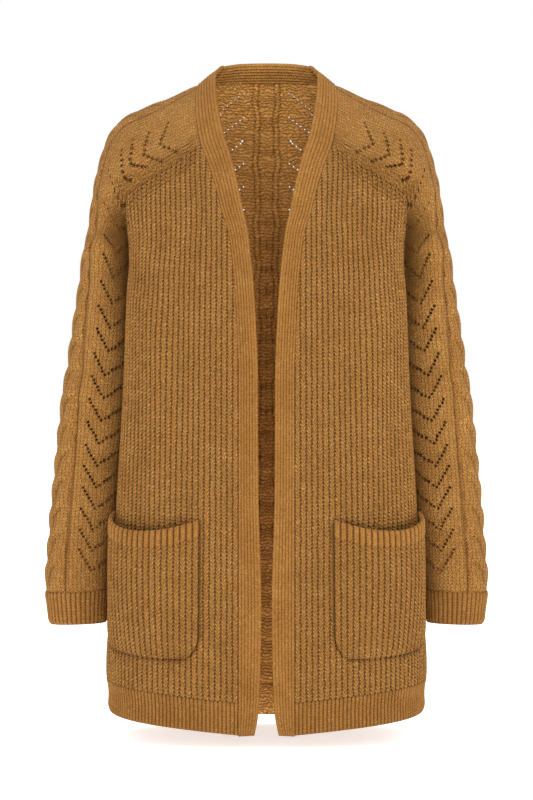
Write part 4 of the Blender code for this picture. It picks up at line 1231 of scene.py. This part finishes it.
def seam_ribs(place, grid, near_front, near_back):
    """Relief and shading of the ribs that run beside both raglan seams."""
    on_cap = ease(place, UNDERARM - 0.02, UNDERARM - 0.05)[:, None]
    wave = waver(place, 320.0, 710.0)[:, None]
    relief, hollow = 0.0, 0.0
    for near, column, beyond in ((near_front, 0, 3), (near_back, -1, -4)):
        down = unit(np.gradient(grid[:, column], axis=0))
        ring = unit(grid[:, beyond] - grid[:, column])
        slanted = np.linalg.norm(np.cross(down, ring), axis=-1)[:, None]
        away = near * slanted + wave
        strip = on_cap * (1 - ease(away, *SLEEVE_STRIP))
        turned = rib_relief(away / SEAM_PITCH + 0.5, 1.0)
        relief = relief + SEAM_RIB * turned * strip
        hollow = hollow + (1 - turned) * strip
    return relief, hollow


def sleeve_eyelets(place, offset):
    """Cells that hold an eyelet of the sleeve's lace."""
    holes = []
    for row in lace_rows():
        spacing = LACE_SPACING if row[0] > UNDERARM else CAP_SPACING * LACE_SPACING
        holes += lace_holes((row[1], row[0]), (row[2], -row[3]), (row[4], -row[5]), spacing)
    return open_eyelets(offset, np.broadcast_to(place[:, None], offset.shape), holes, 0.004)


def make_sleeves(sizes):
    """Both sleeves, each with a rope cable, a column of lace and ribs beside its raglan seams."""
    place = np.linspace(0.0, SLEEVE_END, sizes.sleeve_rows)
    start, end = seam_offsets(place)
    cable = smooth(CABLE_LINE[:, 0], CABLE_LINE[:, 1], place)[:, 0]
    offset = sleeve_columns(start, end, cable)
    near_front, near_back = offset - start[:, None], end[:, None] - offset
    grid, facing = creased_sleeve(place, near_front, near_back, offset)
    relief, hollow = rope_relief(offset - cable[:, None], place[:, None], CABLE_HALF,
                                 CABLE_PITCH, sizes.sleeve_cable)
    relief *= faded(ease(place, *CABLE_GROWS)[:, None], 0.3)
    ribs, shading = seam_ribs(place, grid, near_front, near_back)
    relief, hollow = relief + ribs, hollow + shading
    relief *= ease(place, 0.0, 0.006)[:, None]
    relief *= ease(place, SLEEVE_END, SLEEVE_END - 0.004)[:, None]
    cells = sleeve_eyelets(place, offset)
    turned_in = offset < TURNED_FROM
    wider = np.where(turned_in, TURNED_EYELET, SLEEVE_EYELET)
    # painted shade round each eyelet, more where the sleeve turns away
    marks = (EYELET_DARK + TURNED_DARK * turned_in) * beside_holes(cells)
    hollow = np.maximum(hollow, marks)
    outer = widened(grid + facing * (CLOTH_OUT + relief)[..., None], cells, wider)
    inner = widened(grid - facing * CLOTH_IN, cells, wider)
    cloth = np.stack([offset, np.broadcast_to(-place[:, None], offset.shape)], axis=-1)
    looks = [look("stocking"), look("reverse")]
    dress_pair("sleeve", outer, inner, cloth, hollow, looks, cut_size(grid), open_cells=cells)


# ---------------------------------------------------------------- hems and cuffs
def ribbed_edge(grid, facing, place, sizes):
    """Outer and inner sheets of a ribbed edge that hangs from its last row."""
    rows = len(grid)
    along = run_height(grid)
    relief = rib_relief(np.tile(place, (rows, 1)), sizes.edge_rib, NARROW_ROUND)
    # painted shade in the grooves between the ribs
    hollow = 1 - relief / sizes.edge_rib
    relief *= faded(ease(along, 0.0, 0.004), 0.15)
    relief *= faded(ease(along[-1:] - along, 0.0, 0.003), 0.55)
    curl = EDGE_CURL * (1 - ease(along, 0.0, 0.006))
    outer = grid + facing * (CLOTH_OUT + relief - curl)[..., None]
    inner = grid - facing * (CLOTH_IN - 0.5 * curl)[..., None]
    cloth = np.stack([np.tile(place * NARROW_PITCH, (rows, 1)), along], axis=-1)
    return outer, inner, cloth, hollow


def half_hem(count, face, sizes):
    """Ribbed hem under one half panel, from its lower edge to the seam."""
    columns = count * sizes.edge_columns + 1
    shares = np.linspace(0.0, 1.0, columns)
    low = hem_line(shares, face)
    part = np.linspace(0.0, 1.0, sizes.edge_rows)
    heights = low[None] + HEM_DEEP * part[:, None]
    grid = body_form(np.broadcast_to(shares, heights.shape), heights, face)
    facing = panel_normals(grid, face)
    facing[..., 2] = 0.0
    facing[:, 0] = (0.0, face, 0.0)
    facing[:, -1] = (1.0, 0.0, 0.0)
    facing = unit(facing)
    draw = EDGE_DRAW * np.sin(math.pi * np.clip(part * 1.15, 0.0, 1.0)) ** 0.6
    grid = grid - facing * draw[:, None, None]
    return grid, facing, np.linspace(0.0, count, columns)


def make_hems(sizes):
    """The ribbed hems under both fronts and the back."""
    looks = [look("edge_rib"), look("reverse")]
    grid, facing, place = half_hem(HEM_RIBS, -1, sizes)
    outer, inner, cloth, hollow = ribbed_edge(grid, facing, place, sizes)
    dress_pair("hem_front", outer, inner, cloth, hollow, looks, cut_size(grid), step=(2, 3))
    grid, facing, place = half_hem(BACK_HEM_RIBS // 2, 1, sizes)
    outer, inner, cloth, hollow = ribbed_edge(grid, facing, place, sizes)
    sheets = [both_halves(part, MIRROR) for part in (outer, inner)]
    cloth = both_halves(cloth, MIRROR_FLAT)
    piece = knit_piece("hem_back_knit", *sheets, cloth, both_halves(hollow), step=(2, 3))
    dress(piece, "hem_back", looks, cut_size(both_halves(grid, MIRROR)))


def make_cuffs(sizes):
    """Both ribbed cuffs."""
    place = np.linspace(CUFF_END, SLEEVE_END, sizes.edge_rows)
    start, end = seam_offsets(place)
    columns = CUFF_RIBS * sizes.edge_columns + 1
    grid = sleeve_point(place, np.linspace(start, end, columns, axis=1))
    facing = tube_normals(grid)
    facing[..., 2] = 0.0
    facing[:, (0, -1)] = (-1.0, 0.0, 0.0)
    facing = unit(facing)
    ribs = np.linspace(0.0, CUFF_RIBS, columns)
    outer, inner, cloth, hollow = ribbed_edge(grid, facing, ribs, sizes)
    looks = [look("edge_rib"), look("reverse")]
    dress_pair("cuff", outer, inner, cloth, hollow, looks, cut_size(grid), step=(2, 3))


# ---------------------------------------------------------------- band
def band_seam(place):
    """Points of the band's seam at these places, from the hem round to the middle of the back."""
    points = np.empty((len(place), 3))
    low = place <= 1
    heights = HEM_FRONT_LOW - BAND_LOWER + place[low] * (SLANT_START - HEM_FRONT_LOW + BAND_LOWER)
    points[low] = body_form(np.zeros(low.sum()), heights, -1)
    edge = (place > 1) & (place <= 2)
    points[edge] = neck_edge(place[edge] - 1)
    ring = (place > 2) & (place <= 4)
    start, end = seam_offsets(np.array([0.0]))
    offsets = start + (end - start) * (place[ring] - 2) / 2
    points[ring] = sleeve_point(np.array([0.0]), offsets[None])[0]
    neck = place > 4
    points[neck] = back_neck(5 - place[neck])
    return points


def both_ends(half, flip=1.0):
    """Rows that run from the hem to the middle of the back, and on along their mirror image."""
    return np.concatenate([half, half[-2::-1] * flip])


def band_grid(sizes):
    """Grid of the band from the hem to the middle of the back, its normals and its places."""
    fine = np.linspace(0.0, BAND[-1, 0], 2001)
    length = run_length(band_seam(fine))
    steps = int(length[-1] / sizes.band_step)
    place = np.interp(np.linspace(0.0, length[-1], steps + 1), length, fine)
    points = band_seam(place)
    row = smooth(BAND[:, 0], BAND[:, 1:], place)
    across, normals = row[:, :3], unit(row[:, 3:])
    columns = BAND_RIBS * sizes.edge_columns + 1
    step = np.linspace(0.0, 1.0, columns)[None, :, None]
    grid = points[:, None] + across[:, None] * step
    facing = np.broadcast_to(normals[:, None], grid.shape).copy()
    free = grid_normals(grid, facing)
    return grid, unit(facing + (free - facing) * np.minimum(1.0, 3 * step)), place


def make_band(sizes):
    """The ribbed band, one strip from hem to hem round the neck."""
    grid, facing, place = band_grid(sizes)
    along = run_height(grid)
    ribs = np.linspace(0.0, BAND_RIBS, grid.shape[1])
    height = sizes.band_rib * (1 - BAND_FLATTER * ease(ribs, *BAND_FLATTENS))
    relief = np.tile(rib_relief(ribs, 1.0, NARROW_ROUND) * height, (len(grid), 1))
    edge = ease(ribs, BAND_RIBS, BAND_RIBS - 0.45)[None, :]
    bottom = ease(along, 0.0, 0.004)
    # painted shade in the grooves, less where the ribs are lower
    hollow = (1 - relief / height) * (height / sizes.band_rib)[None, :]
    relief *= faded(edge * bottom, 0.2)
    round_neck = ease(place, *NECK_PLACES)[:, None]
    # painted shade on the inner side: in its grooves round the neck, even elsewhere
    inside = 1.1 * hollow * round_neck + BAND_INSIDE_DARK * (1 - round_neck)
    rolled = 1 - edge * bottom
    outer = grid + facing * (BAND_OUT + relief - BAND_ROLL[0] * rolled)[..., None]
    ribbed = BAND_RIB_INSIDE * relief * round_neck
    inner = grid - facing * (BAND_OUT + ribbed - BAND_ROLL[1] * rolled)[..., None]
    across_cloth = np.tile(ribs * NARROW_PITCH, (len(grid), 1))
    along_cloth = np.concatenate([along, along[-1:] * 2 - along[-2::-1]])
    cloth = np.stack([both_ends(across_cloth), along_cloth], axis=-1)
    piece = knit_piece("front_band_knit", both_ends(outer, MIRROR), both_ends(inner, MIRROR),
                       cloth, both_ends(hollow), step=(2, 1), inside=both_ends(inside))
    looks = [look("fine_rib"), look("collar")]
    dress(piece, "front_band", looks, cut_size(both_ends(grid, MIRROR)))


# ---------------------------------------------------------------- pockets
def pocket_grid(across, up):
    """Grid of a pocket that hangs open, its normals, and its shares of the way round the front."""
    low = POCKET_LOW + POCKET_LOW_RISE * across ** 2
    heights = low + (pocket_mouth(across) - low) * up
    start, end = pocket_edges(heights - low)
    shares = start + (end - start) * across
    base = body_form(shares, heights, -1)
    facing = panel_normals(base, -1)
    arch = 4 * across * (1 - across)
    belly = POCKET_BULGE * (arch * np.sin(math.pi * up / 2)) ** 0.7 * (1 - up ** 3)
    mouth = POCKET_GAPE * arch ** 0.6 * up ** 3
    grid = base + facing * (POCKET_LIFT + belly + mouth)[..., None]
    return grid, panel_normals(grid, -1), shares


def make_pockets(sizes):
    """Both patch pockets, with a ribbed welt along the mouth."""
    columns = POCKET_RIBS * sizes.rib_columns + 1
    across = np.linspace(0.0, 1.0, columns)[None, :]
    up = np.linspace(0.0, 1.0, sizes.pocket_rows)[:, None]
    grid, facing, shares = pocket_grid(across, up)
    along = run_height(grid)
    from_top = along[-1:] - along
    ribs = (shares - POCKET_IN) / (POCKET_OUT - POCKET_IN) * POCKET_RIBS
    welt = ease(from_top, WELT_DEEP + 0.001, WELT_DEEP - 0.001)
    relief = rib_relief(ribs, 1.0) * (1 + 0.15 * welt)
    seam = ridge_at(from_top, WELT_DEEP, 0.0016)
    # painted shade in the grooves, more in the welt, and a line along its seam
    hollow = np.clip(1 - relief, 0.0, 1.0) * (1 + 0.5 * welt) + 0.4 * seam
    relief = sizes.front_rib * relief * (1 - 0.55 * seam) + WELT_RISE * welt
    sides = ease(across, 0.0, 0.02) * ease(across, 1.0, 0.98)
    rim = ease(from_top, 0.0, 0.0035) * ease(along, 0.0, 0.004) * sides
    relief *= faded(rim, 0.15)
    outer = grid + facing * (CLOTH_OUT + relief)[..., None]
    inner = grid - facing * CLOTH_IN
    cloth = np.stack([ribs * sizes.rib_pitch, along], axis=-1)
    marks = np.where(welt[:-1, :-1] > 0.5, 2, 0)
    looks = [look("pocket"), look("reverse"), look("welt")]
    dress_pair("pocket", outer, inner, cloth, hollow, looks, cut_size(grid), step=(3, 3),
               rests_on=["front"], ribbed=marks)


# ---------------------------------------------------------------- studio
MIDDLE = (0.0, 0.0, -0.35)
SOFTBOXES = (
    # name, place, what it points at, width, height
    ("key", (-1.2, -3.4, 0.9), MIDDLE, 1.4, 1.4),
    ("front", (0.25, -3.9, 0.0), MIDDLE, 0.9, 0.9),
    ("side", (2.2, -2.4, 0.4), MIDDLE, 1.4, 2.0),
    ("top", (0.0, 0.4, 2.6), (0.0, 0.6, -0.7), 3.0, 2.4),
)
LAMP_COLOUR = (1.0, 0.985, 0.96)
WHITE = (1.0, 1.0, 1.0, 1.0)
CAMERA_AWAY = 3.5            # from the origin, straight in front
CAMERA_HEIGHT = -0.384
SENSOR = 36.0                # millimetres
PHOTO_HEIGHT = 800.0         # pixels
FOCAL_PIXELS = 2915.5        # focal length in pixels of the photograph


def softbox(name, place, target, width, height, power):
    """Wide soft light that points at its target."""
    light = bpy.data.lights.new(name, "AREA")
    light.shape = "RECTANGLE"
    light.size = width
    light.size_y = height
    light.energy = power
    light.color = LAMP_COLOUR
    box = bpy.data.objects.new(name, light)
    box.location = place
    box.rotation_euler = (Vector(target) - Vector(place)).to_track_quat("-Z", "Y").to_euler()
    bpy.context.scene.collection.objects.link(box)


def make_floor(studio):
    """Wide pale floor, with a little light of its own."""
    far = studio.floor_reach
    points = [(x, y, studio.floor_height) for x, y in
              ((-far, -far), (far, -far), (far, far), (-far, far))]
    mesh = bpy.data.meshes.new("studio_floor")
    mesh.from_pydata(points, [], [(0, 1, 2, 3)])
    floor = bpy.data.objects.new("studio_floor", mesh)
    bpy.context.scene.collection.objects.link(floor)
    paper = Tree("studio_paper")
    grain = paper.noise(paper.add("ShaderNodeTexCoord", output=3), 60.0, 3.0)
    shade = paper.mix(grain, (0.90, 0.90, 0.90, 1.0), (0.93, 0.93, 0.93, 1.0))
    paper.feed(paper.shader.inputs["Base Color"], shade)
    paper.shader.inputs["Roughness"].default_value = 0.9
    paper.shader.inputs["Emission Color"].default_value = WHITE
    paper.shader.inputs["Emission Strength"].default_value = studio.glow
    mesh.materials.append(paper.material)


def make_camera():
    """Camera straight in front, with the photograph's view."""
    scene = bpy.context.scene
    camera = bpy.data.cameras.new("camera")
    camera.sensor_width = SENSOR
    camera.lens = SENSOR * FOCAL_PIXELS / PHOTO_HEIGHT
    camera.clip_end = 50.0
    shot = bpy.data.objects.new("camera", camera)
    shot.location = (0.0, -CAMERA_AWAY, CAMERA_HEIGHT)
    shot.rotation_euler = (math.pi / 2, 0.0, 0.0)
    scene.collection.objects.link(shot)
    scene.camera = shot


def make_studio(studio):
    """The floor under a white sky, soft lights and the camera."""
    scene = bpy.context.scene
    make_floor(studio)
    world = bpy.data.worlds.new("studio_air")
    world.use_nodes = True
    sky = world.node_tree.nodes["Background"]
    sky.inputs["Color"].default_value = WHITE
    sky.inputs["Strength"].default_value = studio.fill
    scene.world = world
    for name, place, target, width, height in SOFTBOXES:
        softbox(name, place, target, width, height, getattr(studio, name))
    make_camera()
    scene.view_settings.view_transform = "Standard"


# ---------------------------------------------------------------- settings
class CardiganSizes(bpy.types.PropertyGroup):
    """Sizes of the ribs and cables, and how finely the cloth is divided"""
    rib_pitch: FloatProperty(
        name="Rib pitch", description="From one rib of the fronts to the next",
        default=0.0072, unit="LENGTH")
    front_rib: FloatProperty(
        name="Front rib", description="Height of the fronts' and pockets' ribs",
        default=0.0020, unit="LENGTH")
    edge_rib: FloatProperty(
        name="Edge rib", description="Height of the ribs of the hems and cuffs",
        default=0.0017, unit="LENGTH")
    band_rib: FloatProperty(
        name="Band rib", description="Height of the band's ribs",
        default=0.0010, unit="LENGTH")
    sleeve_cable: FloatProperty(
        name="Sleeve cable", description="Height of the cable along a sleeve",
        default=0.0044, unit="LENGTH")
    back_cable: FloatProperty(
        name="Back cable", description="Height of the cables of the back",
        default=0.0044, unit="LENGTH")
    band_step: FloatProperty(
        name="Band step", description="Length of the band's cells",
        default=0.0040, unit="LENGTH")
    rib_columns: IntProperty(
        name="Rib columns", description="Columns of cells across one wide rib", default=6)
    edge_columns: IntProperty(
        name="Edge columns", description="Columns of cells across one narrow rib", default=5)
    edge_rows: IntProperty(
        name="Edge rows", description="Rows of points down a hem or cuff", default=13)
    front_rows: IntProperty(
        name="Front rows", description="Rows of points down a front", default=262)
    back_rows: IntProperty(
        name="Back rows", description="Rows of points down the back", default=212)
    back_columns: IntProperty(
        name="Back columns", description="Columns of cells across the back", default=220)
    sleeve_rows: IntProperty(
        name="Sleeve rows", description="Rows of points down a sleeve", default=320)
    pocket_rows: IntProperty(
        name="Pocket rows", description="Rows of points down a pocket", default=70)


class CardiganWool(bpy.types.PropertyGroup):
    """Colours and fuzz of the wool"""
    wool_main: FloatVectorProperty(
        name="Wool", description="Main colour of the yarn", subtype="COLOR",
        default=(0.412, 0.186, 0.0405))
    wool_light: FloatVectorProperty(
        name="Light fibres", description="Colour of the lightest fibres", subtype="COLOR",
        default=(0.655, 0.352, 0.109))
    wool_dark: FloatVectorProperty(
        name="Dark fibres", description="Colour of the darkest fibres", subtype="COLOR",
        default=(0.230, 0.085, 0.014))
    fuzz: FloatProperty(
        name="Fuzz", description="Height of the loose fibres", default=0.0005, unit="LENGTH")
    sheen: FloatProperty(
        name="Sheen", description="Soft light on the loose fibres", default=0.25, subtype="FACTOR")


class CardiganStudio(bpy.types.PropertyGroup):
    """Floor and lights of the studio"""
    floor_height: FloatProperty(
        name="Floor", description="Height of the floor", default=-0.786, unit="LENGTH")
    floor_reach: FloatProperty(
        name="Floor's reach", description="From the middle of the floor to its edges",
        default=30.0, unit="LENGTH")
    key: FloatProperty(
        name="Key light", description="Power of the light at the front left",
        default=12.0, unit="POWER")
    front: FloatProperty(
        name="Front light", description="Power of the light beside the camera",
        default=33.0, unit="POWER")
    side: FloatProperty(
        name="Side light", description="Power of the light at the front right",
        default=13.0, unit="POWER")
    top: FloatProperty(
        name="Top light", description="Power of the light overhead", default=34.0, unit="POWER")
    fill: FloatProperty(
        name="Fill", description="Strength of the light from all round", default=1.0)
    glow: FloatProperty(
        name="Glow", description="Light of the paper itself", default=0.62)


# ---------------------------------------------------------------- operators
class CARDIGAN_OT_fronts(bpy.types.Operator):
    """Build both fronts in wide rib"""
    bl_idname = "cardigan.fronts"
    bl_label = "Fronts"

    def execute(self, context):
        make_fronts(context.scene.cardigan_sizes)
        return {"FINISHED"}


class CARDIGAN_OT_back(bpy.types.Operator):
    """Build the back with its cables and lace"""
    bl_idname = "cardigan.back"
    bl_label = "Back"

    def execute(self, context):
        make_back(context.scene.cardigan_sizes)
        return {"FINISHED"}


class CARDIGAN_OT_sleeves(bpy.types.Operator):
    """Build both sleeves with their cable and lace"""
    bl_idname = "cardigan.sleeves"
    bl_label = "Sleeves"

    def execute(self, context):
        make_sleeves(context.scene.cardigan_sizes)
        return {"FINISHED"}


class CARDIGAN_OT_edges(bpy.types.Operator):
    """Build the ribbed hems and cuffs"""
    bl_idname = "cardigan.edges"
    bl_label = "Hems and cuffs"

    def execute(self, context):
        make_hems(context.scene.cardigan_sizes)
        make_cuffs(context.scene.cardigan_sizes)
        return {"FINISHED"}


class CARDIGAN_OT_band(bpy.types.Operator):
    """Build the ribbed band round the opening"""
    bl_idname = "cardigan.band"
    bl_label = "Band"

    def execute(self, context):
        make_band(context.scene.cardigan_sizes)
        return {"FINISHED"}


class CARDIGAN_OT_pockets(bpy.types.Operator):
    """Build both patch pockets"""
    bl_idname = "cardigan.pockets"
    bl_label = "Pockets"

    def execute(self, context):
        make_pockets(context.scene.cardigan_sizes)
        return {"FINISHED"}


class CARDIGAN_OT_studio(bpy.types.Operator):
    """Set up the floor, the lights and the camera"""
    bl_idname = "cardigan.studio"
    bl_label = "Studio"

    def execute(self, context):
        make_studio(context.scene.cardigan_studio)
        return {"FINISHED"}


PIECES = (CARDIGAN_OT_fronts, CARDIGAN_OT_back, CARDIGAN_OT_sleeves, CARDIGAN_OT_edges,
          CARDIGAN_OT_band, CARDIGAN_OT_pockets, CARDIGAN_OT_studio)


class CARDIGAN_PT_pieces(bpy.types.Panel):
    """Pieces of the cardigan"""
    bl_idname = "CARDIGAN_PT_pieces"
    bl_label = "Cardigan"
    bl_space_type = "VIEW_3D"
    bl_region_type = "UI"
    bl_category = "Cardigan"

    def draw(self, context):
        for piece in PIECES:
            self.layout.operator(piece.bl_idname)


SETTINGS = (("cardigan_sizes", CardiganSizes), ("cardigan_wool", CardiganWool),
            ("cardigan_studio", CardiganStudio))


def register():
    """Add the settings, the operators and the panel."""
    for name, group in SETTINGS:
        bpy.utils.register_class(group)
        setattr(bpy.types.Scene, name, PointerProperty(type=group))
    for piece in PIECES + (CARDIGAN_PT_pieces,):
        bpy.utils.register_class(piece)


def unregister():
    """Take them out again, the last first."""
    for piece in (CARDIGAN_PT_pieces,) + PIECES[::-1]:
        bpy.utils.unregister_class(piece)
    for name, group in SETTINGS[::-1]:
        delattr(bpy.types.Scene, name)
        bpy.utils.unregister_class(group)


def main():
    """Build every piece and the studio."""
    register()
    bpy.ops.cardigan.fronts()
    bpy.ops.cardigan.back()
    bpy.ops.cardigan.sleeves()
    bpy.ops.cardigan.edges()
    bpy.ops.cardigan.band()
    bpy.ops.cardigan.pockets()
    bpy.ops.cardigan.studio()
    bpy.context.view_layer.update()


if __name__ == "__main__":
    main()
